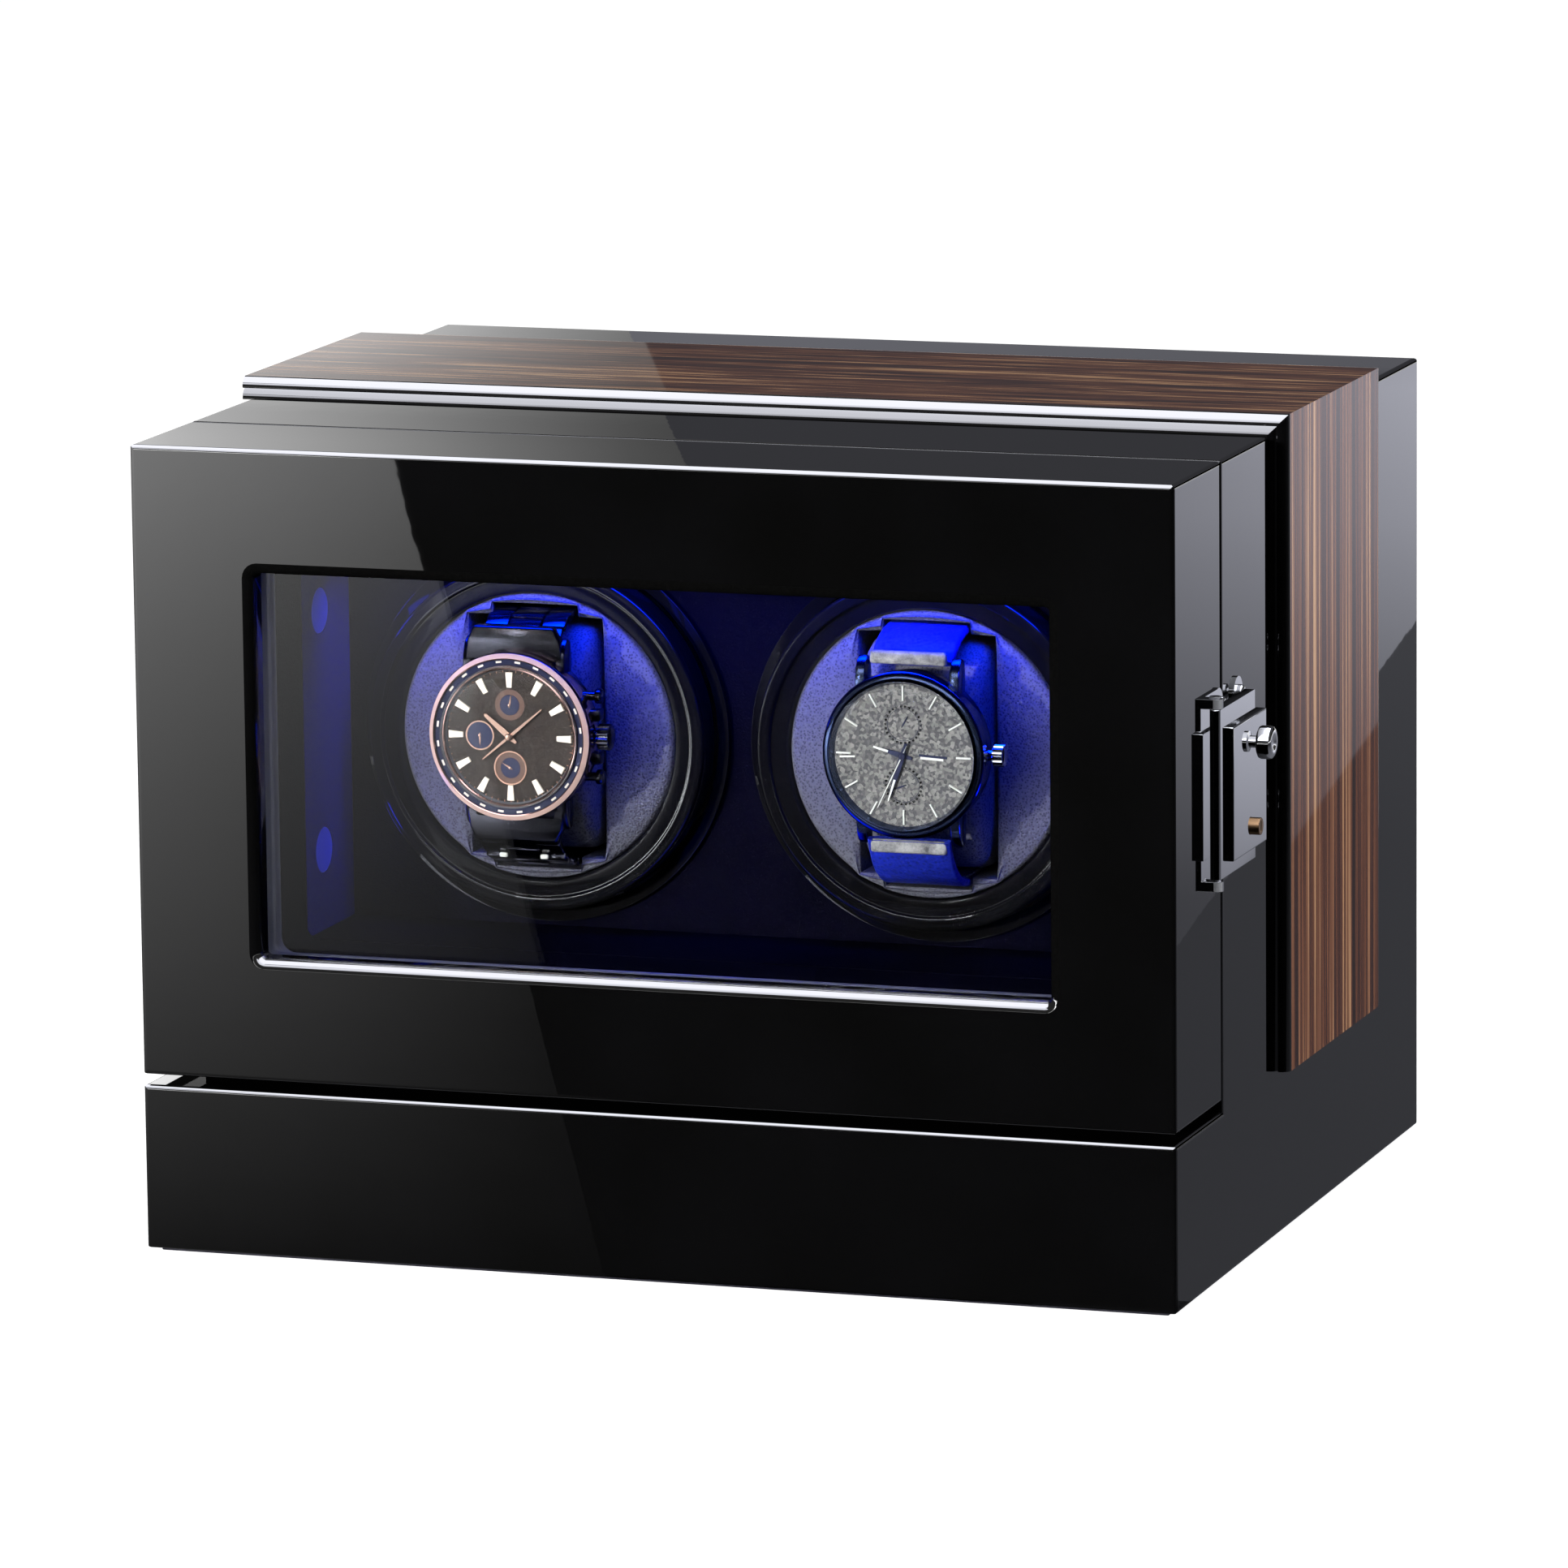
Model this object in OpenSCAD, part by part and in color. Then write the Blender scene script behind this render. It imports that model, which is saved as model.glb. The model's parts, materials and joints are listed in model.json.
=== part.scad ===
// Two-watch winder box: lacquered cabinet with a plinth, a glazed door, a wood band,
// two belt-driven drums with watch cushions, a hasp lock and rear controls.
// X to the right, Y from the door to the rear, Z up. The origin is the middle of the
// felt that the box rests on.

/* [Cabinet] */
// Width of the lacquered body
body_w = 276; // [268:1:300]
// Depth from the door's face to the rear edge
body_d = 232; // [215:1:260]
// Height from the table to the top of the body
body_h = 210; // [207:1:225]
// Thickness of the side and top boards
wall_t = 12; // [10:0.5:13]
// Thickness of the bottom board
floor_t = 10; // [8:0.5:14]
// Thickness of the front board behind the door
face_t = 10; // [8:0.5:14]
// Height of the plinth under the door
plinth_h = 44; // [40:0.5:47]
// Thickness of the plinth's front and top boards
plinth_t = 11; // [8:0.5:14]
// Radius of the lacquered edges
edge_r = 1.2; // [0.6:0.1:2]
// Thickness of the felt under the body
felt_t = 1; // [0.6:0.1:2]
// Distance from the felt's edge to the body's edge
felt_inset = 3; // [1:0.5:8]

/* [Door] */
// Depth of the door and the seam behind it
door_t = 42; // [38:0.5:46]
// Gap at the seam between door and cabinet
seam_gap = 0.6; // [0.6:0.1:1]
// Gap between the door and the plinth
door_gap = 2.7; // [1.5:0.1:4]
// Distance from the drums to the window's sides
window_side = 9; // [8:0.25:11]
// Distance from the drums to the window's top and bottom
window_rise = 6.45; // [6.2:0.05:8]
// Radius of the window's corners
window_r = 4; // [2:0.5:8]
// Depth of the lip in front of the pane
lip_t = 6; // [4:0.5:8]
// Thickness of the glass pane
pane_t = 3; // [2:0.5:4]
// Depth of the bead that holds the pane
bead_d = 15; // [10:0.5:18]
// Thickness of the bead and the lining inside the door
lining_t = 3; // [2:0.5:4]

/* [Wood band] */
// Distance from the door's face to the band
band_d = 82; // [70:1:95]
// Width of the band from front to back
band_w = 90; // [70:1:110]
// Thickness of each of the band's two layers
layer_t = 3; // [2:0.5:4]
// Overhang of the band past the body's left side
band_over = 1.2; // [0.5:0.1:3]
// Height of the side band's lower end
band_z = 46.3; // [20:0.1:60]

/* [Lit bay] */
// Depth of the bay from the seam to the fascia
bay_d = 34; // [32:0.5:38]
// Thickness of the bay's velvet-covered liner
liner_t = 3; // [2.5:0.5:4]
// Thickness of the velvet-covered fascia
fascia_t = 4; // [3:0.5:5]
// Width of the fixed collar round each drum
trim_w = 3.4; // [2:0.2:4]
// Radius of each round lamp in the bay's sides
lamp_r = 6; // [4:0.5:7]
// Height of each round lamp above and below the middle
lamp_rise = 31.5; // [20:0.5:38]
// Width of the light bar under the bay's ceiling
bar_w = 8; // [5:0.5:10]

/* [Drums] */
// Gap between the two drums
drum_gap = 14; // [11:0.5:18]
// How far the drums sit below the window's middle
drum_drop = 1; // [0:0.1:1]
// Width of the drum's front ring
ring_w = 8.4; // [7.5:0.1:9]
// How far the ring stands out of the fascia
ring_proud = 11; // [9:0.5:13]
// Height of the ring in front of the cup
ring_h = 5; // [4.5:0.25:6]
// Inner radius of the drum's cup
cup_r = 37.6; // [35:0.1:40]
// Thickness of the cup's wall and back
cup_t = 3; // [2:0.25:3.5]
// Thickness of the pad behind the strap
pad_base = 3.8; // [2:0.1:8]
// Depth of the pad in front of the cup's rim
pad_rise = 4; // [3:0.25:4]
// Radius of the drum's shaft
shaft_r = 3; // [2:0.25:4]

/* [Cushions and watches] */
// Width of the watch cushion
cushion_w = 36; // [30:0.5:36]
// Room above and below the watch cushion for the strap
cushion_room = 6.4; // [6:0.1:8]
// Thickness of the watch cushion from front to back
cushion_t = 40; // [37:0.5:41]
// Width of the bracelet and the strap
strap_w = 22; // [18:0.5:24]
// Thickness of the bracelet and the strap
strap_t = 2.6; // [2:0.1:2.8]
// Radius of the left watch
watch_l_r = 22; // [20:0.25:23]
// Radius of the right watch
watch_r_r = 21.5; // [20:0.25:23]
// Thickness of a watch from crystal to back
watch_t = 13; // [11:0.25:15]
// How far a watch sits above the drum's middle
watch_rise = 3.4; // [0:0.1:4]
// How far a cushion pulls out with the door shut
cushion_pull = 24; // [10:1:28]

/* [Drive] */
// Gap between each drum and its motor
motor_gap = 7.9; // [2:0.1:12]
// Radius of a motor
motor_r = 13.5; // [10:0.5:15]
// Gap between the fascia and the motors
motor_space = 5.6; // [4:0.1:12]
// Radius of the belt's run on the drum pulley
pulley_r = 20; // [16:0.5:22]
// Radius of the belt's run on the motor pulley
pinion_r = 5; // [4:0.5:6]
// Thickness of the plate that carries the drive
plate_t = 5; // [4:0.5:8]
// Width of the belt
belt_w = 5; // [4:0.5:6]
// Thickness of the belt
belt_t = 1.2; // [0.8:0.1:1.5]

/* [Hinges] */
// Height of each hinge
hinge_h = 30; // [24:1:40]
// Distance of each hinge from the door's ends
hinge_inset = 34; // [30:1:50]
// Radius of a hinge's barrel
barrel_r = 2.4; // [2.2:0.1:3]
// Radius of a hinge's pin
pin_r = 1.1; // [0.9:0.1:1.2]
// Thickness of a hinge leaf
leaf_t = 1.2; // [1:0.1:1.5]
// Width of a hinge leaf as a share of the door's side rail
leaf_share = 0.47; // [0.4:0.01:0.55]

/* [Lock] */
// Height of the lock's two base plates
lock_h = 32; // [28:0.5:38]
// Thickness of the base plates, and of the lock case
lock_t = 3; // [2.5:0.25:4]
// Distance from the door's face to the lock
lock_d = 14.7; // [10:0.1:18]
// Height of the hasp lever
hasp_h = 43; // [42:0.5:50]
// Length of the hasp lever
hasp_l = 32.5; // [31:0.5:36]
// Height of the lock's middle
lock_z = 129.5; // [110:0.5:140]
// Radius of the turning knob
knob_r = 4.2; // [3:0.2:5]
// Length of the turning knob outside the case
knob_l = 8; // [6:0.5:10]
// Radius of the key cylinder
cylinder_r = 2.2; // [1.8:0.1:3]
// Travel of the bolt
bolt_throw = 2.2; // [1.5:0.1:2.4]

/* [Rear] */
// Depth of the recess behind the rear panel
rear_recess = 14; // [12:0.5:18]
// Thickness of the rear panel
panel_t = 4; // [3:0.5:5]
// Width of the ledge that the rear panel sits on
ledge_w = 4; // [3.5:0.25:5]
// Radius of a mode knob
mode_knob_r = 8; // [6:0.5:10]
// Distance between the two mode knobs
mode_pitch = 50; // [30:1:60]
// Height of the rear controls
control_z = 100; // [70:1:120]
// Sideways place of the rear controls
control_x = -12; // [-30:1:30]
// Distance from the controls' middle to the power jack
jack_x = 44; // [40:0.5:60]
// Width of a vent slot
vent_w = 30; // [15:1:40]
// Distance of the vents from the middle
vent_x = 85; // [75:1:95]
// Travel of the light button
button_travel = 1.5; // [1:0.1:2]
// Radius of the plug hole in the power jack
jack_r = 2.75; // [2:0.05:3]

/* [Hidden] */

$fn = 64;
// Clearances: board in a frame, soft piece in its seat, shaft in a bore, seated pieces
fit = 0.3;
run = 0.05;
seat = 0.02;
over = 1;

half_w = body_w / 2;
function fy(d) = -body_d / 2 + d;

// Door and window, which is as large as the drums behind it need
door_z = plinth_h + door_gap;
door_back = door_t - seam_gap;
ring_r = cup_r + ring_w;
drum_pitch = 2 * ring_r + drum_gap;
drum_x = drum_pitch / 2;
win_x = drum_x + ring_r + window_side;
win_mid = (door_z + body_h) / 2;
win_z0 = win_mid - ring_r - window_rise;
win_z1 = win_mid + ring_r + window_rise;
pane_back = lip_t + pane_t;
bead_back = pane_back + bead_d;

// Cabinet interior
room_x = half_w - wall_t;
room_z0 = felt_t + floor_t;
room_z1 = body_h - wall_t;
face_back = door_t + face_t;
fascia_front = door_t + bay_d;
fascia_back = fascia_front + fascia_t;
fascia_drop = 14;
fascia_z0 = win_z0 - fascia_drop;

// Drums, as depths behind the door's face
drum_z = win_mid - drum_drop;
crest_d = fascia_front - ring_proud;
cup_front = crest_d + ring_h;
head_stand = 21.5;
head_front = crest_d - head_stand;
head_back = head_front + watch_t;
cushion_h = 2 * (cup_r - cushion_room);
cushion_front = head_back + fit;
cushion_mid = cushion_front + cushion_t / 2;
strap_gap = 0.5;
strap_back = cushion_t / 2 + strap_gap + strap_t / 2;
pocket_back = cushion_mid + strap_back + strap_t / 2 + fit;
cup_floor = pocket_back + pad_base;
cup_back = cup_floor + cup_t;
hub_r = 8;
hub_l = 6.3;
hub_end = cup_back + hub_l;
flange_t = 2;
bush_r = 6;
plate_front = hub_end + fit + flange_t;
plate_back = plate_front + plate_t;
plate_rise = 30;
bush_proud = 0.7;
bush_end = plate_back + bush_proud;
flange_w = 1.3;
groove_w = belt_w + 0.4;
rim_h = 2;
pulley_w = groove_w + 2 * flange_w;
pulley_front = bush_end + fit;
pulley_back = pulley_front + pulley_w;
shaft_end = pulley_back + 1.5;
motor_drop = cup_r + cup_t + motor_gap + motor_r;
motor_z = drum_z - motor_drop;
motor_l = plate_front - fascia_back - motor_space;
motor_shaft_r = 1.5;
motor_shaft_in = 5.7;

// Straps and pads
strap_z = cushion_h / 2 + strap_gap + strap_t / 2;
strap_bow = 8;
strap_front = cushion_t / 2 + strap_bow;
pad_front = cup_front - pad_rise;
pad_r = cup_r - 0.2;
lug_reach = 22.5;

// Hinges: pivot line at the left edge, in the middle of the seam
pivot_x = -half_w - barrel_r - 0.2;
pivot_d = door_t - seam_gap / 2;
leaf_gap = 0.3;
leaf_w = (half_w - win_x) * leaf_share;
hinge_zs = [door_z + hinge_inset, body_h - hinge_inset];
leaf_screws = [-hinge_h / 3, 0, hinge_h / 3];
screw_r = 1;
screw_head_r = 1.9;
screw_l = 8;

// Lock, as depths behind the door's face and heights
hasp_t = lock_t - 0.2;
hasp_x = half_w + lock_t + fit;
case_x = hasp_x + hasp_t;
hasp_d = lock_d + 3.8;
hasp_pivot_x = hasp_x + hasp_t / 2;
hasp_pivot_d = hasp_d + hasp_t / 2;
hasp_pin_r = 0.7;
hasp_end = hasp_d + hasp_l;
case_d = hasp_d + 2.5;
case_h = lock_h + 2;
cab_plate_d = door_t + 1.4;
cab_plate_l = 14.6;
door_plate_end = door_back - 0.8;
ear_r = 4;
ear_t = 1.5;
ear_z = lock_h / 2 + 4.5;
door_ear_d = hasp_d + 15.5;
cab_ear_d = cab_plate_d + 8.5;
knob_d = hasp_d + 11.5;
knob_z = lock_z + 12;
key_d = hasp_d + 17.5;
key_z = lock_z - 10.5;
bolt_r = 1.2;
bolt_d = hasp_end - 4;
bolt_l = 5;
lug_h = 2.5;

// Rear
panel_back = body_d - rear_recess;
panel_front = panel_back - panel_t;
board_gap = 16;
board_back = panel_front - board_gap;
board_t = 1.6;
board_w = 96;
board_h = 44;
mode_shaft_r = 3;
pot_w = 12;
pot_t = 9;
button_r = 4;
button_drop = 14;
button_z = control_z - button_drop;
jack_body_r = 5.5;
jack_nut_t = 1.2;
jack_depth = 9;
plug_pin_r = 1;
vent_h = 3;
vent_pitch = 8;
vent_rise = 34;
panel_screw_inset = 8;
panel_screw_x = room_x + ledge_w / 2;

// ---- outlines and solids ----
function corner(c, r, a0) = [for (i = [0:5]) c + r * [cos(a0 + i * 18), sin(a0 + i * 18)]];
function round_rect(lo, hi, r) = concat(
  corner([hi[0] - r, hi[1] - r], r, 0), corner([lo[0] + r, hi[1] - r], r, 90),
  corner([lo[0] + r, lo[1] + r], r, 180), corner([hi[0] - r, lo[1] + r], r, 270));
function rect(lo, hi) = [lo, [hi[0], lo[1]], hi, [lo[0], hi[1]]];
function power(v, e) = sign(v) * pow(abs(v), e);
// One point of a squarish loop in [depth, height]: front and back halves may differ
function loop_pt(a, h, front, back) =
  [-power(cos(a), 2 / 3) * (cos(a) > 0 ? front : back), power(sin(a), 2 / 3) * h];

module prism_x(x0, x1, pts) {
  translate([x0, 0, 0]) rotate([90, 0, 90]) linear_extrude(x1 - x0) polygon(pts);
}
module prism_y(d0, d1, pts) {
  translate([0, fy(d1), 0]) rotate([90, 0, 0]) linear_extrude(d1 - d0) polygon(pts);
}
module prism_z(z0, z1, pts) {
  translate([0, 0, z0]) linear_extrude(z1 - z0) polygon(pts);
}
// Box between two corners given as [x, depth, z]
module block(lo, hi) {
  translate([lo[0], fy(lo[1]), lo[2]]) cube([hi[0] - lo[0], hi[1] - lo[1], hi[2] - lo[2]]);
}
// The same with every edge rounded
module soft_block(lo, hi, r) {
  intersection() {
    prism_x(lo[0], hi[0], round_rect([fy(lo[1]), lo[2]], [fy(hi[1]), hi[2]], r));
    prism_y(lo[1], hi[1], round_rect([lo[0], lo[2]], [hi[0], hi[2]], r));
    prism_z(lo[2], hi[2], round_rect([lo[0], fy(lo[1])], [hi[0], fy(hi[1])], r));
  }
}
// Puts local Z along Y, from the door's face backwards
module along_y(x, z) {
  translate([x, fy(0), z]) rotate([-90, 0, 0]) children();
}
// Puts local Z along X, outwards to the right
module along_x(x, d, z) {
  translate([x, fy(d), z]) rotate([0, 90, 0]) children();
}
module turned(pts) {
  rotate_extrude($fn = 96) polygon(pts);
}
module disc(r, d0, d1) {
  translate([0, 0, d0]) cylinder(r = r, h = d1 - d0);
}

// Countersunk screw along +Z with its face at 0, and the hole for it
module wood_screw(extra = 0, length = screw_l) {
  rotate_extrude($fn = 32) polygon([
    [0, -extra], [screw_head_r + extra, -extra], [screw_head_r + extra, 0],
    [screw_r + extra, 0.9], [screw_r + extra, length + extra], [0, length + extra]]);
}
module hinge_screws(side, extra = 0) {
  face = pivot_d + side * leaf_gap / 2;
  for (z = hinge_zs, dz = leaf_screws)
    translate([-half_w + leaf_w / 2, fy(face), z + dz])
      rotate([-90 * side, 0, 0]) wood_screw(extra);
}
module latch_screws(d, extra = 0) {
  for (s = [-1, 1])
    along_x(half_w + ear_t, d, lock_z + s * ear_z) {
      translate([0, 0, -screw_l]) cylinder(r = screw_r + extra, h = screw_l + extra);
      if (extra == 0) cylinder(r = screw_head_r, h = 0.9);
    }
}

// ---- cabinet ----
module cabinet_shell() {
  hole_x = win_x + liner_t + fit;
  color("#0d0d10") difference() {
    union() {
      soft_block([-half_w, door_t, felt_t], [half_w, body_d, body_h], edge_r);
      soft_block([-half_w, 0, felt_t], [half_w, body_d, plinth_h], edge_r);
    }
    block([-hole_x, door_t - over, win_z0 - liner_t - fit],
          [hole_x, face_back + over, win_z1 + liner_t + fit]);
    block([-room_x, face_back, room_z0], [room_x, panel_front + over, room_z1]);
    block([-room_x, plinth_t, room_z0], [room_x, face_back + over, plinth_h - plinth_t]);
    block([-room_x - ledge_w, panel_front, room_z0 - ledge_w],
          [room_x + ledge_w, body_d + over, room_z1 + ledge_w]);
    leaf_cut(1);
    hinge_screws(1, run);
    latch_screws(cab_ear_d, run);
    rear_screw_set(run);
  }
}

module base_felt() {
  color("#1b1b22") block([-half_w + felt_inset, felt_inset, 0],
                         [half_w - felt_inset, body_d - felt_inset, felt_t]);
}

module band_prism(pts) {
  prism_y(band_d, band_d + band_w, pts);
}
module band_core() {
  t = body_h + layer_t;
  s = half_w + layer_t;
  color("#15151a") band_prism([[-half_w - band_over, body_h], [half_w, body_h],
    [half_w, band_z], [s, band_z], [s, t], [-half_w - band_over, t]]);
}
module veneer_top() {
  t = body_h + layer_t;
  s = half_w + layer_t;
  color("#4a2c1d") band_prism([[-half_w - band_over, t], [s, t],
    [s + layer_t, t + layer_t], [-half_w - band_over, t + layer_t]]);
}
module veneer_side() {
  t = body_h + layer_t;
  s = half_w + layer_t;
  color("#4a2c1d") band_prism([[s, band_z], [s + layer_t, band_z],
    [s + layer_t, t + layer_t], [s, t]]);
}

lamp_inset = 13;
lamp_d = door_t + lamp_inset;
bar_inset = 9;
bar_d = door_t + bar_inset;
lamp_t = 1.5;
bar_end = 10;
bar_x = win_x - bar_end;
module lamp_set(extra) {
  for (s = [-1, 1], dz = [-lamp_rise, lamp_rise])
    translate([s * (win_x + lamp_t / 2), fy(lamp_d), win_mid + dz]) rotate([0, 90, 0])
      cylinder(r = lamp_r + extra, h = lamp_t + 2 * extra, center = true);
  block([-bar_x - extra, bar_d - extra, win_z1 - lamp_t - extra],
        [bar_x + extra, bar_d + bar_w + extra, win_z1 + lamp_t + extra]);
}
module bay_liner() {
  color("#16161d") difference() {
    block([-win_x - liner_t, door_t, win_z0 - liner_t],
          [win_x + liner_t, fascia_front, win_z1 + liner_t]);
    block([-win_x, door_t - over, win_z0], [win_x, fascia_front + over, win_z1]);
    lamp_set(run);
  }
}
module led_lamps() {
  color("#2b4bff") lamp_set(0);
}

ring_gap = 0.6;
hole_r = ring_r + ring_gap;
collar_t = 0.9;
collar_gap = 0.15;
module fascia() {
  color("#0a0a12") difference() {
    block([-room_x + fit, fascia_front, fascia_z0], [room_x - fit, fascia_back, room_z1 - fit]);
    for (s = [-1, 1]) along_y(s * drum_x, drum_z)
      disc(hole_r + collar_t + collar_gap, fascia_front - over, fascia_back + over);
  }
}
module fascia_trims() {
  color("#111118") for (s = [-1, 1]) along_y(s * drum_x, drum_z) turned([
    [hole_r, fascia_back], [hole_r, fascia_front - 0.8], [hole_r + trim_w, fascia_front - 2.2],
    [hole_r + trim_w, fascia_front], [hole_r + collar_t, fascia_front],
    [hole_r + collar_t, fascia_back]]);
}

// ---- drive ----
module mechanism_plate() {
  color("#3a3d42") difference() {
    block([-room_x + fit, plate_front, room_z0], [room_x - fit, plate_back, drum_z + plate_rise]);
    for (s = [-1, 1]) {
      along_y(s * drum_x, drum_z) disc(bush_r + seat, plate_front - over, plate_back + over);
      along_y(s * drum_x, motor_z) disc(boss_r + boss_gap, plate_front - over, plate_back + over);
    }
  }
}
module shaft_bushings() {
  color("#a87a3d") for (s = [-1, 1]) along_y(s * drum_x, drum_z) difference() {
    union() {
      disc(bush_r, plate_front, bush_end);
      disc(bush_r + 2.5, hub_end + fit, plate_front);
    }
    disc(shaft_r + run, hub_end, bush_end + over);
  }
}
gearbox_l = 11;
boss_r = 3.9;
boss_gap = 0.1;
terminal_x = 6;
terminal_l = 4;
module gear_motor(s) {
  front = plate_front - motor_l;
  color("#b9bcc2") along_y(s * drum_x, motor_z) difference() {
    union() {
      disc(motor_r - 1.5, front, plate_front - gearbox_l);
      disc(motor_r, plate_front - gearbox_l, plate_front);
      disc(boss_r, front - 2, front);
      disc(boss_r, plate_front, plate_front + 1);
      for (x = [-terminal_x, terminal_x]) translate([x - 1.2, -0.4, front - terminal_l])
        cube([2.4, 0.8, terminal_l]);
    }
    disc(motor_shaft_r + run, plate_front - motor_shaft_in - fit, plate_back);
  }
}
module motor_left() gear_motor(-1);
module motor_right() gear_motor(1);

// A pulley's outline, with a groove for the belt
function pulley_pts(r_in, r, d0) = [
  [r_in, d0], [r + rim_h, d0], [r + rim_h, d0 + flange_w], [r, d0 + flange_w],
  [r, d0 + flange_w + groove_w], [r + rim_h, d0 + flange_w + groove_w],
  [r + rim_h, d0 + pulley_w], [r_in, d0 + pulley_w]];
module motor_pulley(s) {
  color("#d8d4c8") along_y(s * drum_x, motor_z) union() {
    turned(pulley_pts(motor_shaft_r - 0.2, pinion_r, pulley_front));
    disc(motor_shaft_r, plate_front - motor_shaft_in, pulley_back + 1);
  }
}
module motor_pulley_left() motor_pulley(-1);
module motor_pulley_right() motor_pulley(1);

// Belt round both pulleys: arcs joined by their outer tangents, in [x, down]
function belt_pts(grow) =
  let (tilt = asin((pulley_r - pinion_r) / motor_drop), a = pulley_r + grow, b = pinion_r + grow)
  concat(
    [for (i = [0:24]) let (t = tilt - (i / 24) * (180 + 2 * tilt)) [a * cos(t), a * sin(t)]],
    [for (i = [0:12]) let (t = 180 - tilt - (i / 12) * (180 - 2 * tilt))
      [b * cos(t), motor_drop + b * sin(t)]]);
module belt(s) {
  d0 = pulley_front + flange_w + (groove_w - belt_w) / 2;
  slack = 0.12;
  color("#1c1c1c") along_y(s * drum_x, drum_z) translate([0, 0, d0]) linear_extrude(belt_w)
    difference() {
      polygon(belt_pts(slack + belt_t));
      polygon(belt_pts(slack));
    }
}
module belt_left() belt(-1);
module belt_right() belt(1);

// ---- drums ----
// The ring's outline, in shares of its width and of its depth
ring_d = ring_h + 4;
ring_line = [[0, 0.2], [0.06, 0.065], [0.165, 0], [0.275, 0.035], [0.36, 0.145], [0.43, 0.29],
  [0.57, 0.41], [0.715, 0.445], [0.8, 0.365], [0.905, 0.335], [0.975, 0.39], [1, 0.48], [1, 1]];
module drum_ring(s) {
  inner = cup_r + cup_t + seat;
  color("#0c0c10") along_y(s * drum_x, drum_z) turned(concat([[cup_r, cup_front]],
    [for (p = ring_line) [cup_r + p[0] * ring_w, crest_d + p[1] * ring_d]],
    [[inner, crest_d + ring_d], [inner, cup_front]]));
}
module drum_ring_left() drum_ring(-1);
module drum_ring_right() drum_ring(1);

module drum_cup(s) {
  color("#1a1a20") along_y(s * drum_x, drum_z) turned([
    [cup_r, cup_front], [cup_r + cup_t, cup_front], [cup_r + cup_t, cup_back],
    [hub_r, cup_back], [hub_r, hub_end], [shaft_r + seat, hub_end],
    [shaft_r + seat, cup_floor], [cup_r, cup_floor]]);
}
module drum_cup_left() drum_cup(-1);
module drum_cup_right() drum_cup(1);

// Padded insert with a pocket for the cushion and the strap round it
module drum_pad(s) {
  px = cushion_w / 2 + fit;
  pz = cushion_h / 2 + fit;
  sx = strap_w / 2 + 0.6;
  sz = strap_z + strap_t / 2 + fit;
  color("#55587a") difference() {
    along_y(s * drum_x, drum_z) union() {
      disc(pad_r, pad_front + 1, cup_floor - fit);
      disc(pad_r - 1, pad_front, pad_front + 1);
    }
    block([s * drum_x - px, pad_front - over, drum_z - pz],
          [s * drum_x + px, pocket_back, drum_z + pz]);
    block([s * drum_x - sx, pad_front - over, drum_z - sz],
          [s * drum_x + sx, pocket_back, drum_z + sz]);
  }
}
module drum_pad_left() drum_pad(-1);
module drum_pad_right() drum_pad(1);

module drum_shaft(s) {
  color("#c9c9cf") along_y(s * drum_x, drum_z) union() {
    disc(shaft_r, cup_floor + 0.5, shaft_end);
    turned(pulley_pts(shaft_r - 0.5, pulley_r, pulley_front));
  }
}
module drum_shaft_left() drum_shaft(-1);
module drum_shaft_right() drum_shaft(1);

// ---- cushions and watches ----
module cushion(s) {
  color("#4b4e70") prism_x(s * drum_x - cushion_w / 2, s * drum_x + cushion_w / 2,
    [for (a = [0:7.5:359]) [fy(cushion_mid), drum_z]
      + loop_pt(a, cushion_h / 2, cushion_t / 2, cushion_t / 2)]);
}
module cushion_left() cushion(-1);
module cushion_right() cushion(1);

// Angle on the strap's loop at which it is as far up as z
function strap_angle(z) = asin(pow(abs(z) / strap_z, 1.5));
module strap_loop(s) {
  top = strap_angle(watch_rise + lug_reach);
  low = 360 - strap_angle(watch_rise - lug_reach);
  steps = 40;
  grow = strap_t / 2;
  function ring_pt(i, g) = [fy(cushion_mid), drum_z]
    + loop_pt(top + (low - top) * i / steps, strap_z + g, strap_front + g, strap_back + g);
  prism_x(s * drum_x - strap_w / 2, s * drum_x + strap_w / 2, concat(
    [for (i = [0:steps]) ring_pt(i, grow)], [for (i = [steps:-1:0]) ring_pt(i, -grow)]));
}
module bracelet_left() {
  color("#26262e") strap_loop(-1);
}
module strap_right() {
  color("#1c2033") strap_loop(1);
}

crystal_w = 3.4;
dial_d = head_front + 3.2;
module watch_case(s, r, rim) {
  inner = r - crystal_w;
  f = head_front;
  wz = drum_z + watch_rise;
  along_y(s * drum_x, wz) turned([
    [0, f + 3.85], [inner + 0.1, f + 3.85], [inner + 0.1, f + 1.3], [inner + 1.6, f + 1],
    [r, f + rim], [r, f + 4.4], [r - 0.8, f + 5], [r - 0.8, f + watch_t - 1.6],
    [r - 2.6, f + watch_t], [0, f + watch_t]]);
  for (x = [-1, 1], z = [-1, 1])
    prism_x(s * drum_x + x * (strap_w / 2 + 1.5) - 1.3, s * drum_x + x * (strap_w / 2 + 1.5) + 1.3,
      [[fy(f + 5.2), wz + z * (r - 7)], [fy(f + 6.4), wz + z * (r + 1.5)],
       [fy(f + 9), wz + z * (r + 3)], [fy(f + 11), wz + z * (r + 2)],
       [fy(f + 10.5), wz + z * (r - 7)]]);
  along_x(s * drum_x + r - 1.5, f + 7.8, wz) {
    cylinder(r = 1.5, h = 3);
    translate([0, 0, 2.2]) cylinder(r = 2.8, h = 2.8, $fn = 24);
  }
}
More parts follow.
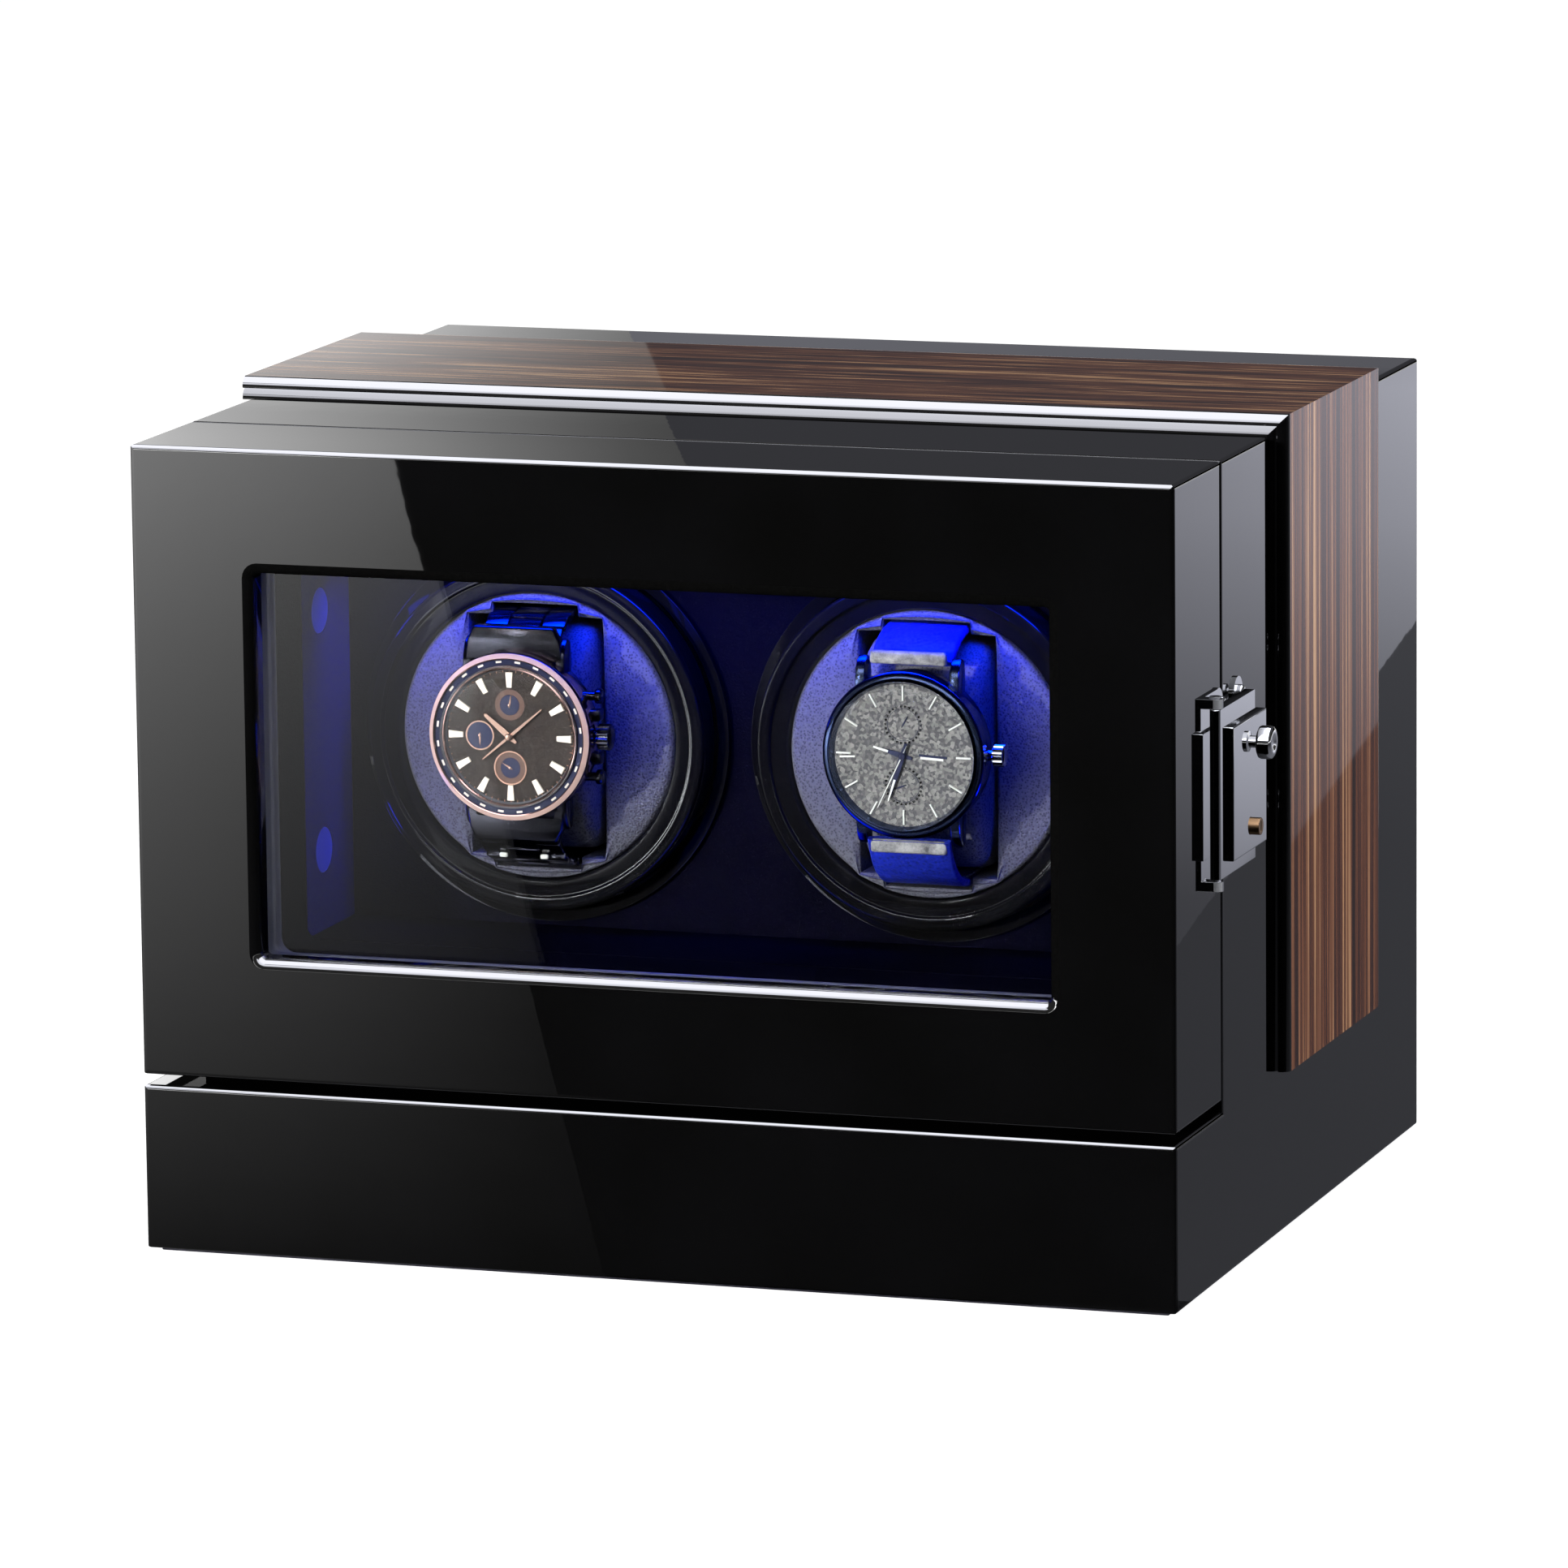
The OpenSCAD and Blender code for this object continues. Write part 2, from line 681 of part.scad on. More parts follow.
module watch_left_case() {
  color("#8a6a5c") {
    watch_case(-1, watch_l_r, 2.4);
    for (z = [-1, 1]) along_x(-drum_x + watch_l_r - 3.6, head_front + 7.8,
                              drum_z + watch_rise + z * 10.5) {
      cylinder(r = 1.1, h = 4.6);
      translate([0, 0, 4]) cylinder(r = 1.8, h = 1.6);
    }
  }
}
module watch_right_case() {
  color("#23335c") watch_case(1, watch_r_r, 1.8);
}
// Dial with raised hour marks, small dials and hands on a centre post. Lengths are shares
// of the dial's radius; a hand is [angle, length, width, lift], a small dial [x, y].
dial_t = 0.6;
module watch_dial(s, r, mark_l, mark_w, subs, hands) {
  dr = r - crystal_w;
  along_y(s * drum_x, drum_z + watch_rise) {
    disc(dr - 0.1, dial_d, dial_d + dial_t);
    for (a = [0:30:330]) rotate(a)
      translate([dr * (0.91 - mark_l), -dr * mark_w / 2, dial_d - 0.4])
        cube([dr * mark_l, dr * mark_w, 0.5]);
    for (p = subs) translate([dr * p[0], dr * p[1], 0]) difference() {
      disc(dr * 0.21, dial_d - 0.2, dial_d + 0.1);
      disc(dr * 0.18, dial_d - 0.5, dial_d + 0.05);
    }
    disc(dr * 0.06, dial_d - 1.5, dial_d + 0.1);
    for (h = hands) rotate(h[0])
      translate([-dr * 0.16, -dr * h[2] / 2, dial_d - h[3]]) cube([dr * (h[1] + 0.16), dr * h[2], 0.3]);
  }
}
module watch_left_dial() {
  color("#5a5652") watch_dial(-1, watch_l_r, 0.21, 0.09, [[0, -0.44], [0, 0.44], [-0.44, 0]],
    [[-140, 0.46, 0.065, 0.85], [-40, 0.65, 0.054, 1.2]]);
}
module watch_right_dial() {
  color("#8c8f96") watch_dial(1, watch_r_r, 0.21, 0.033, [[0, -0.41], [0, 0.41]],
    [[-165, 0.44, 0.05, 0.85], [108, 0.69, 0.044, 1.2]]);
}
module watch_crystal(s, r) {
  color([0.8, 0.9, 1, 0.3]) along_y(s * drum_x, drum_z + watch_rise)
    disc(r - crystal_w, head_front + 0.3, head_front + 1.5);
}
module watch_left_crystal() watch_crystal(-1, watch_l_r);
module watch_right_crystal() watch_crystal(1, watch_r_r);

// ---- door ----
rebate_x = win_x + lining_t;
rebate_z0 = win_z0 - lining_t;
rebate_z1 = win_z1 + lining_t;
module window_ring(d0, d1) {
  difference() {
    block([-rebate_x + fit, d0, rebate_z0 + fit], [rebate_x - fit, d1, rebate_z1 - fit]);
    prism_y(d0 - over, d1 + over, round_rect([-win_x, win_z0], [win_x, win_z1], window_r));
  }
}
module door_frame() {
  color("#0d0d10") difference() {
    soft_block([-half_w, 0, door_z], [half_w, door_back, body_h], edge_r);
    prism_y(-over, lip_t + over, round_rect([-win_x, win_z0], [win_x, win_z1], window_r));
    block([-rebate_x, lip_t, rebate_z0], [rebate_x, door_t, rebate_z1]);
    leaf_cut(-1);
    hinge_screws(-1, run);
    latch_screws(door_ear_d, run);
  }
}
module window_pane() {
  color([0.85, 0.9, 1, 0.25])
    block([-rebate_x + fit, lip_t, rebate_z0 + fit], [rebate_x - fit, pane_back, rebate_z1 - fit]);
}
module pane_retainer() {
  color("#a3a6ad") window_ring(pane_back, bead_back);
}
module door_lining() {
  color("#2a2a33") window_ring(bead_back, door_back);
}

// ---- hinges ----
// side is -1 for the door's leaf and 1 for the cabinet's
module leaf_plate(side, z, extra) {
  d0 = side > 0 ? pivot_d + leaf_gap / 2 : pivot_d - leaf_gap / 2 - leaf_t - extra;
  block([-half_w - extra, d0, z - hinge_h / 2 - extra],
        [-half_w + leaf_w + extra, d0 + leaf_t + extra, z + hinge_h / 2 + extra]);
}
module leaf_cut(side) {
  for (z = hinge_zs) leaf_plate(side, z, seat);
}
module barrel_part(side, z, z0, z1) {
  d0 = side > 0 ? pivot_d + leaf_gap / 2 : pivot_d - leaf_gap / 2 - leaf_t;
  translate([pivot_x, fy(pivot_d), z + z0]) cylinder(r = barrel_r, h = z1 - z0, $fn = 32);
  block([pivot_x, d0, z + z0], [-half_w + 1, d0 + leaf_t, z + z1]);
}
module hinge_leaves(side) {
  third = hinge_h / 6;
  color("#c4a05a") difference() {
    union() {
      for (z = hinge_zs) {
        leaf_plate(side, z, 0);
        if (side < 0) barrel_part(side, z, -third + 0.1, third - 0.1);
        if (side > 0) barrel_part(side, z, -hinge_h / 2, -third - 0.1);
        if (side > 0) barrel_part(side, z, third + 0.1, hinge_h / 2);
      }
    }
    translate([pivot_x, fy(pivot_d), door_z]) cylinder(r = pin_r + run, h = body_h, $fn = 32);
    hinge_screws(side, run);
  }
}
module cabinet_hinge_leaves() hinge_leaves(1);
module door_hinge_leaves() hinge_leaves(-1);
module hinge_pins() {
  color("#b08d4a") for (z = hinge_zs) translate([pivot_x, fy(pivot_d), z - hinge_h / 2]) {
    cylinder(r = pin_r, h = hinge_h + 0.2, $fn = 32);
    translate([0, 0, hinge_h]) cylinder(r = barrel_r - 0.4, h = 0.8, $fn = 32);
  }
}

// ---- lock ----
module base_plate(d0, d1, ear_d) {
  block([half_w, d0, lock_z - lock_h / 2], [half_w + lock_t, d1, lock_z + lock_h / 2]);
  for (s = [-1, 1]) {
    along_x(half_w, ear_d, lock_z + s * ear_z) cylinder(r = ear_r, h = ear_t);
    block([half_w, ear_d - ear_r, lock_z + s * ear_z - (s > 0 ? ear_r + 1 : 0)],
          [half_w + ear_t, ear_d + ear_r, lock_z + s * ear_z + (s > 0 ? 0 : ear_r + 1)]);
  }
}
module latch_plate_cabinet() {
  color("#cfd3da") difference() {
    base_plate(cab_plate_d, cab_plate_d + cab_plate_l, cab_ear_d);
    along_x(half_w - over, bolt_d, lock_z) cylinder(r = bolt_r + 0.3, h = lock_t + 2 * over);
    latch_screws(cab_ear_d, run);
  }
}
module latch_plate_door() {
  lug_z = hasp_h / 2 + fit;
  color("#cfd3da") difference() {
    union() {
      base_plate(lock_d, door_plate_end, door_ear_d);
      for (s = [-1, 1]) {
        z0 = lock_z + (s > 0 ? lug_z : -lug_z - lug_h);
        translate([hasp_pivot_x, fy(hasp_pivot_d), z0]) cylinder(r = 2, h = lug_h, $fn = 32);
        block([half_w, hasp_pivot_d - 2, z0], [hasp_pivot_x, hasp_pivot_d + 2, z0 + lug_h]);
        block([half_w, hasp_pivot_d - 2, lock_z + s * lock_h / 2 - (s > 0 ? over : lug_z - lock_h / 2 + lug_h)],
              [half_w + ear_t, door_ear_d, lock_z + s * lock_h / 2 + (s > 0 ? lug_z - lock_h / 2 + lug_h : over)]);
      }
    }
    translate([hasp_pivot_x, fy(hasp_pivot_d), lock_z - hasp_h])
      cylinder(r = hasp_pin_r + run, h = 2 * hasp_h, $fn = 32);
    latch_screws(door_ear_d, run);
  }
}
module hasp_pin() {
  h = hasp_h + 2 * (fit + lug_h);
  color("#e0e3e8") translate([hasp_pivot_x, fy(hasp_pivot_d), lock_z - h / 2]) {
    cylinder(r = hasp_pin_r, h = h + 0.1, $fn = 32);
    translate([0, 0, h]) cylinder(r = 1.5, h = 0.6, $fn = 32);
  }
}
// Bores through the lever and the case, for the knob, the key cylinder and the bolt
module lock_bores() {
  along_x(hasp_x - over, knob_d, knob_z) cylinder(r = 1.5 + run, h = 20, $fn = 32);
  along_x(hasp_x + 1, key_d, key_z) cylinder(r = cylinder_r + run, h = 20, $fn = 32);
  along_x(hasp_x - over, bolt_d, lock_z)
    cylinder(r = bolt_r + run, h = over + bolt_l + bolt_throw / 10, $fn = 32);
}
module hasp_lever() {
  z0 = lock_z - hasp_h / 2;
  color("#cfd3da") difference() {
    union() {
      translate([hasp_pivot_x, fy(hasp_pivot_d), z0])
        cylinder(r = hasp_t / 2, h = hasp_h, $fn = 32);
      block([hasp_x, hasp_pivot_d, z0], [case_x, hasp_end, z0 + hasp_h]);
    }
    translate([hasp_pivot_x, fy(hasp_pivot_d), z0 - over])
      cylinder(r = hasp_pin_r + run, h = hasp_h + 2 * over, $fn = 32);
    lock_bores();
  }
}
module lock_case() {
  color("#dfe2e8") difference() {
    soft_block([case_x, case_d, lock_z - case_h / 2],
               [case_x + lock_t, hasp_end, lock_z + case_h / 2], 0.5);
    lock_bores();
  }
}
module latch_knob() {
  color("#e6e8ec") along_x(hasp_x + 0.5, knob_d, knob_z) {
    cylinder(r = 1.5, h = case_x + lock_t - hasp_x + knob_l / 2, $fn = 32);
    translate([0, 0, case_x + lock_t - hasp_x - 0.5 + fit]) cylinder(r = 2.6, h = 1.2, $fn = 32);
    translate([0, 0, case_x + lock_t - hasp_x - 0.5 + knob_l / 2]) rotate_extrude($fn = 48)
      polygon([[0, 0], [knob_r - 0.5, 0], [knob_r, 0.5], [knob_r, knob_l / 2 - 1],
        [knob_r - 0.8, knob_l / 2 - 0.2], [1.2, knob_l / 2], [1.2, knob_l / 2 - 0.4],
        [0, knob_l / 2 - 0.4]]);
  }
}
module latch_bolt() {
  color("#b9bcc2") along_x(hasp_x + 0.1, bolt_d, lock_z) cylinder(r = bolt_r, h = bolt_l, $fn = 32);
}
module lock_cylinder() {
  l = case_x + lock_t + 2.8 - hasp_x - 1.2;
  color("#c9a24c") difference() {
    along_x(hasp_x + 1.2, key_d, key_z) cylinder(r = cylinder_r, h = l, $fn = 32);
    along_x(hasp_x + l - 0.8, key_d, key_z)
      translate([-cylinder_r * 0.6, -0.35, 0]) cube([cylinder_r * 1.2, 0.7, 3]);
  }
}

// ---- rear ----
module rear_screw_set(extra) {
  for (s = [-1, 1], z = [room_z0 + panel_screw_inset, (room_z0 + room_z1) / 2,
                         room_z1 - panel_screw_inset])
    along_y(s * panel_screw_x, z) {
      disc(screw_r + extra, panel_front - 6 - extra, panel_back + extra);
      if (extra == 0) disc(1.7, panel_back, panel_back + 1);
    }
}
module vent_slots() {
  for (s = [-1, 1], i = [0:5])
    translate([s * vent_x, fy(panel_front - over), control_z + vent_rise + i * vent_pitch])
      translate([-vent_w / 2, 0, 0]) cube([vent_w, panel_t + 2 * over, vent_h]);
}
module at_knob(s) {
  along_y(control_x + s * mode_pitch / 2, control_z) children();
}
module at_jack() {
  along_y(control_x + jack_x, control_z) children();
}
module at_button() {
  along_y(control_x, button_z) children();
}
post_r = 2.5;
post_inset = 4;
module rear_panel() {
  color("#1b1b1f") difference() {
    union() {
      block([-room_x - ledge_w + fit, panel_front, room_z0 - ledge_w + fit],
            [room_x + ledge_w - fit, panel_back, room_z1 + ledge_w - fit]);
      for (s = [-1, 1], z = [-1, 1])
        along_y(s * (board_w / 2 - post_inset), control_z + z * (board_h / 2 - post_inset))
          disc(post_r, board_back, panel_front + over);
    }
    for (s = [-1, 1]) at_knob(s) disc(mode_shaft_r + fit, panel_front - over, panel_back + over);
    at_button() disc(button_r + run, panel_front - over, panel_back + over);
    at_jack() disc(jack_body_r + run, panel_front - over, panel_back + over);
    rear_screw_set(run);
    vent_slots();
  }
}
module rear_screws() {
  color("#9a9ea6") rear_screw_set(0);
}

// The board, with its potentiometers, its switch, and the connectors on its front
switch_w = 12;
switch_t = 7;
plug_w = 12;
plug_h = 8;
plug_t = 6;
plug_x = 38;
chip_w = 16;
chip_h = 14;
chip_t = 1.6;
button_stem_r = 2;
module control_board() {
  board_front = board_back - board_t;
  color("#1f5a3a") difference() {
    union() {
      block([-board_w / 2, board_front, control_z - board_h / 2],
            [board_w / 2, board_back, control_z + board_h / 2]);
      for (s = [-1, 1]) at_knob(s) translate([-pot_w / 2, -pot_w / 2, board_back])
        cube([pot_w, pot_w, pot_t]);
      at_button() translate([-switch_w / 2, -switch_w / 2, board_back])
        cube([switch_w, switch_w, switch_t]);
      for (x = [-plug_x, plug_x]) block([x - plug_w / 2, board_front - plug_t, control_z - plug_h / 2],
                                        [x + plug_w / 2, board_front, control_z + plug_h / 2]);
      block([-chip_w / 2, board_front - chip_t, control_z - chip_h / 2],
            [chip_w / 2, board_front, control_z + chip_h / 2]);
    }
    for (s = [-1, 1]) at_knob(s) disc(mode_shaft_r + run, board_back + 1, board_back + pot_t + over);
    at_button() disc(button_stem_r + run, board_back + 2, board_back + switch_t + over);
  }
}
mode_knob_l = 10.5;
skirt_t = 2;
skirt_w = 1.2;
module mode_knob(s) {
  color("#23232a") at_knob(s) difference() {
    union() {
      disc(mode_shaft_r, board_back + 1 + fit, panel_back + skirt_t);
      disc(mode_knob_r, panel_back + fit, panel_back + skirt_t);
      disc(mode_knob_r - skirt_w, panel_back + skirt_t, panel_back + mode_knob_l);
    }
    translate([-0.5, -mode_knob_r, panel_back + mode_knob_l - 0.7]) cube([1, mode_knob_r, over]);
  }
}
module mode_knob_left() mode_knob(-1);
module mode_knob_right() mode_knob(1);
button_proud = 2.5;
module light_button() {
  color("#d9dbe0") at_button() {
    disc(button_stem_r, board_back + 2 + fit + button_travel, panel_front);
    disc(button_r, panel_front - 2, panel_back + button_proud);
  }
}
module dc_jack() {
  color("#3c3f45") at_jack() difference() {
    union() {
      disc(jack_body_r + 1.5, board_back, panel_front - fit);
      disc(jack_body_r, panel_front - fit - 1, panel_back + jack_nut_t);
      disc(jack_body_r + 1.3, panel_back, panel_back + jack_nut_t);
    }
    difference() {
      disc(jack_r, panel_back - jack_depth, panel_back + jack_nut_t + over);
      disc(plug_pin_r, panel_back - jack_depth - over, panel_back - 1);
    }
  }
}

// ---- fasteners in the cabinet and the door ----
module cabinet_screws() {
  color("#c9ccd2") {
    hinge_screws(1);
    latch_screws(cab_ear_d);
  }
}
module door_screws() {
  color("#c9ccd2") {
    hinge_screws(-1);
    latch_screws(door_ear_d);
  }
}

cabinet_shell();
base_felt();
band_core();
veneer_top();
veneer_side();
bay_liner();
fascia();
fascia_trims();
led_lamps();
mechanism_plate();
shaft_bushings();
motor_left();
motor_right();
belt_left();
belt_right();
rear_panel();
rear_screws();
control_board();
dc_jack();
cabinet_hinge_leaves();
hinge_pins();
latch_plate_cabinet();
cabinet_screws();
door_frame();
window_pane();
pane_retainer();
door_lining();
door_hinge_leaves();
latch_plate_door();
door_screws();
hasp_pin();
hasp_lever();
lock_case();
latch_knob();
latch_bolt();
lock_cylinder();
drum_ring_left();
drum_cup_left();
drum_pad_left();
drum_shaft_left();
drum_ring_right();
drum_cup_right();
drum_pad_right();
drum_shaft_right();
motor_pulley_left();
motor_pulley_right();
cushion_left();
watch_left_case();
watch_left_dial();
watch_left_crystal();
bracelet_left();
cushion_right();
watch_right_case();
watch_right_dial();
watch_right_crystal();
strap_right();
mode_knob_left();
mode_knob_right();
light_button();
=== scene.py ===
import json
import math

import bmesh
import bpy
from mathutils import Matrix, Vector, noise

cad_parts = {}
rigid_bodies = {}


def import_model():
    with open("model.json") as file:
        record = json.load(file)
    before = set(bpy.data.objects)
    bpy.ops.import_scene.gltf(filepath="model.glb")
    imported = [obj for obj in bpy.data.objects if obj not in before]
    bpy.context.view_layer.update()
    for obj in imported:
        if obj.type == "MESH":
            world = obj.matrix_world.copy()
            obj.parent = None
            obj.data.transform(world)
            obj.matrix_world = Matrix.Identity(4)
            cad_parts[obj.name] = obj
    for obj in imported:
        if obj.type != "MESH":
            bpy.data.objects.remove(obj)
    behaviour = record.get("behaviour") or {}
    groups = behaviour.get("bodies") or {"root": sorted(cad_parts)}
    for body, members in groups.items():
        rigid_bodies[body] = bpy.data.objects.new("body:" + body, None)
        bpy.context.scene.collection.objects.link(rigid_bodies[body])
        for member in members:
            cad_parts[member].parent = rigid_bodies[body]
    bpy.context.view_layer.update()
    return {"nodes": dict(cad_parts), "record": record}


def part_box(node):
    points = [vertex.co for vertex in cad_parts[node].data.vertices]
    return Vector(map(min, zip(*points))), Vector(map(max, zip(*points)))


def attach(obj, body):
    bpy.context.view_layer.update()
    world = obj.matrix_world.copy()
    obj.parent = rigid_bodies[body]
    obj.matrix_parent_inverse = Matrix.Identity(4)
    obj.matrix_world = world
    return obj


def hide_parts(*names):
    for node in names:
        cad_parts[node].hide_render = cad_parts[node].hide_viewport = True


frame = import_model()
scene = bpy.context.scene
mm = 0.001
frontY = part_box("door_frame")[0].y  # the door's face
bodyOf = {n: b for b, ns in frame["record"]["behaviour"]["bodies"].items() for n in ns}
slotOf = {s["node"]: s["material_slot"] for s in frame["record"]["subparts"]}
sides = ("left", "right")


def depths(node):
    # where a node starts and ends behind the door's face, in mm
    return [(corner.y - frontY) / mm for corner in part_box(node)]


def middle(node, *axes):
    low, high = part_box(node)
    return tuple((low[k] + high[k]) / 2 for k in axes)


drumMid = {side: middle("drum_cup_" + side, 0, 2) for side in sides}
crestDepth = depths("drum_ring_left")[0]
headDepth = depths("watch_left_case")[0]
print("frame loaded:", len(frame["nodes"]), "nodes")


viewer = {"place": (0.8329, -2.4889, 0.5886), "yaw": 18.556, "pitch": 10.367, "roll": -0.631,
          "lens": 233.88, "sensor": 36.0, "near": 0.05, "far": 50}


def addObject(name, data):
    obj = bpy.data.objects.new(name, data)
    scene.collection.objects.link(obj)
    return obj


def addCamera(spec):
    yaw, pitch, roll = (math.radians(spec[k]) for k in ("yaw", "pitch", "roll"))
    forward = Vector((-math.sin(yaw) * math.cos(pitch), math.cos(yaw) * math.cos(pitch), -math.sin(pitch)))
    right = Vector((math.cos(yaw), math.sin(yaw), 0))
    up = right.cross(forward)
    rightR = right * math.cos(roll) + up * math.sin(roll)
    upR = up * math.cos(roll) - right * math.sin(roll)
    data = bpy.data.cameras.new("viewerCamera")
    data.lens, data.sensor_width = spec["lens"], spec["sensor"]
    data.clip_start, data.clip_end = spec["near"], spec["far"]
    scene.camera = addObject("viewerCamera", data)
    turn = Matrix((rightR, upR, -forward)).transposed().to_4x4()
    scene.camera.matrix_world = Matrix.Translation(spec["place"]) @ turn


addCamera(viewer)
print("camera set")


weld = 2e-6  # points closer than this are one point


def at(x, depth, z):
    return Vector((x * mm, frontY + depth * mm, z * mm))


def place(mid, across, up, along, axis):
    if axis == "y":  # mid is (x, z) in metres, along is a depth
        return Vector((mid[0] + across * mm, frontY + along * mm, mid[1] + up * mm))
    return Vector((along * mm, mid[0] + across * mm, mid[1] + up * mm))  # axis x: mid is (y, z)


def quarter(steps, first=0):
    return [math.pi / 2 * i / steps for i in range(first, steps + 1)]


def shadeEdges(bm, sharp):
    # smooth faces, with crisp edges where they meet at more than this angle
    for face in bm.faces:
        face.smooth = True
    for edge in bm.edges:
        edge.smooth = not (len(edge.link_faces) == 2 and edge.calc_face_angle(0) > math.radians(sharp))


def toMesh(bm, name):
    mesh = bpy.data.meshes.new(name)
    bm.to_mesh(mesh)
    bm.free()
    return mesh


def addMesh(name, bm, finish=None, sharp=35, fix=True):
    if fix:
        bmesh.ops.remove_doubles(bm, verts=bm.verts, dist=weld)
        bmesh.ops.recalc_face_normals(bm, faces=bm.faces)
    shadeEdges(bm, sharp)
    obj = addObject(name, toMesh(bm, name))
    if finish:
        obj.data.materials.append(finishes[finish])
    return obj


def skin(bm, rows, around=True, ends=True, closed=False):
    # faces between rows of points; each row may run around, and the last row may meet the first
    for one, two in zip(rows, rows[1:] + (rows[:1] if closed else [])):
        for i in range(len(one) if around else len(one) - 1):
            j = (i + 1) % len(one)
            corners = list(dict.fromkeys((one[i], one[j], two[j], two[i])))
            if len(corners) > 2:
                bm.faces.new(corners)
    if ends:
        bm.faces.new(rows[0])
        bm.faces.new(reversed(rows[-1]))


def block(bm, rows):
    # two ends first, then the sides: the order decides how the ends are split into triangles
    bm.faces.new(rows[0])
    bm.faces.new(reversed(rows[1]))
    skin(bm, rows, ends=False)


def settle(obj, node):
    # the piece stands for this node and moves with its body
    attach(obj, bodyOf[node])
    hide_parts(node)
    return obj


def extra(obj, node):
    # a piece added on a node that stays
    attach(obj, bodyOf[node])
    return obj


def join(name, parts):
    bm = bmesh.new()
    slots = []
    for part in parts:
        material = part.data.materials[0]
        if material not in slots:
            slots.append(material)
        for poly in part.data.polygons:
            poly.material_index = slots.index(material)
        bm.from_mesh(part.data)
        bpy.data.objects.remove(part)
    obj = addObject(name, toMesh(bm, name))
    for material in slots:
        obj.data.materials.append(material)
    return obj


def markFaces(obj, finish, rule):
    # faces that meet the rule carry another finish
    obj.data.materials.append(finishes[finish])
    for face in obj.data.polygons:
        if rule(face):
            face.material_index = len(obj.data.materials) - 1


def bakeModifiers(obj):
    depsgraph = bpy.context.evaluated_depsgraph_get()
    mesh = bpy.data.meshes.new_from_object(obj.evaluated_get(depsgraph), depsgraph=depsgraph)
    obj.modifiers.clear()
    obj.data = mesh
    return obj


def modified(obj, kind, **settings):
    tool = obj.modifiers.new("shape", kind)
    for key, value in settings.items():
        setattr(tool, key, value)
    return bakeModifiers(obj)


def reshade(obj, sharp):
    bm = bmesh.new()
    bm.from_mesh(obj.data)
    shadeEdges(bm, sharp)
    bm.to_mesh(obj.data)
    bm.free()
    return obj


def edgeBevel(obj, width, angle=40):
    modified(obj, "BEVEL", width=width * mm, segments=3, limit_method="ANGLE",
             angle_limit=math.radians(angle))
    return reshade(obj, 50)


def evenNormals(obj):
    # broad faces keep flat shading beside their rounded edges
    return modified(obj, "WEIGHTED_NORMAL", mode="FACE_AREA_WITH_ANGLE", weight=90, keep_sharp=True)


def turned(name, profile, mid, finish, steps=128, sharp=35, axis="y", base=0.0):
    # profile: a closed line of (radius, depth past base) in mm, turned about an axis at mid
    bm = bmesh.new()
    rings = []
    for radius, depth in profile:
        count = steps if radius else 1
        ring = [bm.verts.new(place(mid, radius * math.cos(a), radius * math.sin(a), base + depth, axis))
                for a in (2 * math.pi * i / steps for i in range(count))]
        rings.append(ring * (steps // count))
    skin(bm, rings, ends=False, closed=True)
    return addMesh(name, bm, finish, sharp)


def slab(name, outline, low, high, finish, axis="y"):
    # extrudes an outline: (x, z) along y, or (depth, z) along x
    bm = bmesh.new()
    spot = {"y": lambda p, q: at(p[0], q, p[1]), "x": lambda p, q: at(q, p[0], p[1])}[axis]
    block(bm, [[bm.verts.new(spot(p, q)) for p in outline] for q in (low, high)])
    return addMesh(name, bm, finish)


def boxMesh(name, size, finish, bevel, segments=2, spot=(0, 0, 0)):
    # a small block with softened edges
    bm = bmesh.new()
    bmesh.ops.create_cube(bm, size=1)
    for vert in bm.verts:
        vert.co = Vector([c * s * mm for c, s in zip(vert.co, size)])
    bmesh.ops.bevel(bm, geom=bm.edges[:], offset=bevel * mm, segments=segments, affect="EDGES", profile=0.5)
    obj = addMesh(name, bm, finish, 50)
    obj.data.transform(Matrix.Translation(spot))
    return obj


def plate(name, outline, thick, finish="chrome", bevel=0.0):
    # a flat part on the XY plane, softened along its upper edge
    bm = bmesh.new()
    block(bm, [[bm.verts.new((x * mm, y * mm, z * mm)) for x, y in outline] for z in (thick, 0)])
    if bevel:
        top = [e for e in bm.edges if all(v.co.z > thick * mm / 2 for v in e.verts)]
        bmesh.ops.bevel(bm, geom=top, offset=bevel * mm, segments=1, affect="EDGES", profile=0.5)
    return addMesh(name, bm, finish, 30)


def repeatTree(name, inputs, kinds, links):
    # a tree that repeats a part; links read node.socket>node.socket, and the copies are made real and painted
    tree = bpy.data.node_groups.new(name, "GeometryNodeTree")
    for label, kind in {"Geometry": "Geometry", "Part": "Object", **inputs, "Material": "Material"}.items():
        tree.interface.new_socket(label, in_out="INPUT", socket_type="NodeSocket" + kind)
    tree.interface.new_socket("Geometry", in_out="OUTPUT", socket_type="NodeSocketGeometry")
    kinds = {"give": "NodeGroupInput", "take": "NodeGroupOutput", "info": "GeometryNodeObjectInfo",
             "stamp": "GeometryNodeInstanceOnPoints", "real": "GeometryNodeRealizeInstances",
             "paint": "GeometryNodeSetMaterial", **kinds}
    nodes = {key: tree.nodes.new(kind) for key, kind in kinds.items()}
    links += " give.Part>info.Object info.Geometry>stamp.Instance real.0>paint.Geometry"
    links += " give.Material>paint.Material paint.0>take.0"
    for link in links.split():
        (source, out), (target, into) = (end.split(".") for end in link.split(">"))
        tree.links.new(nodes[source].outputs[int(out) if out.isdigit() else out],
                       nodes[target].inputs[int(into) if into.isdigit() else into])
    return tree, nodes


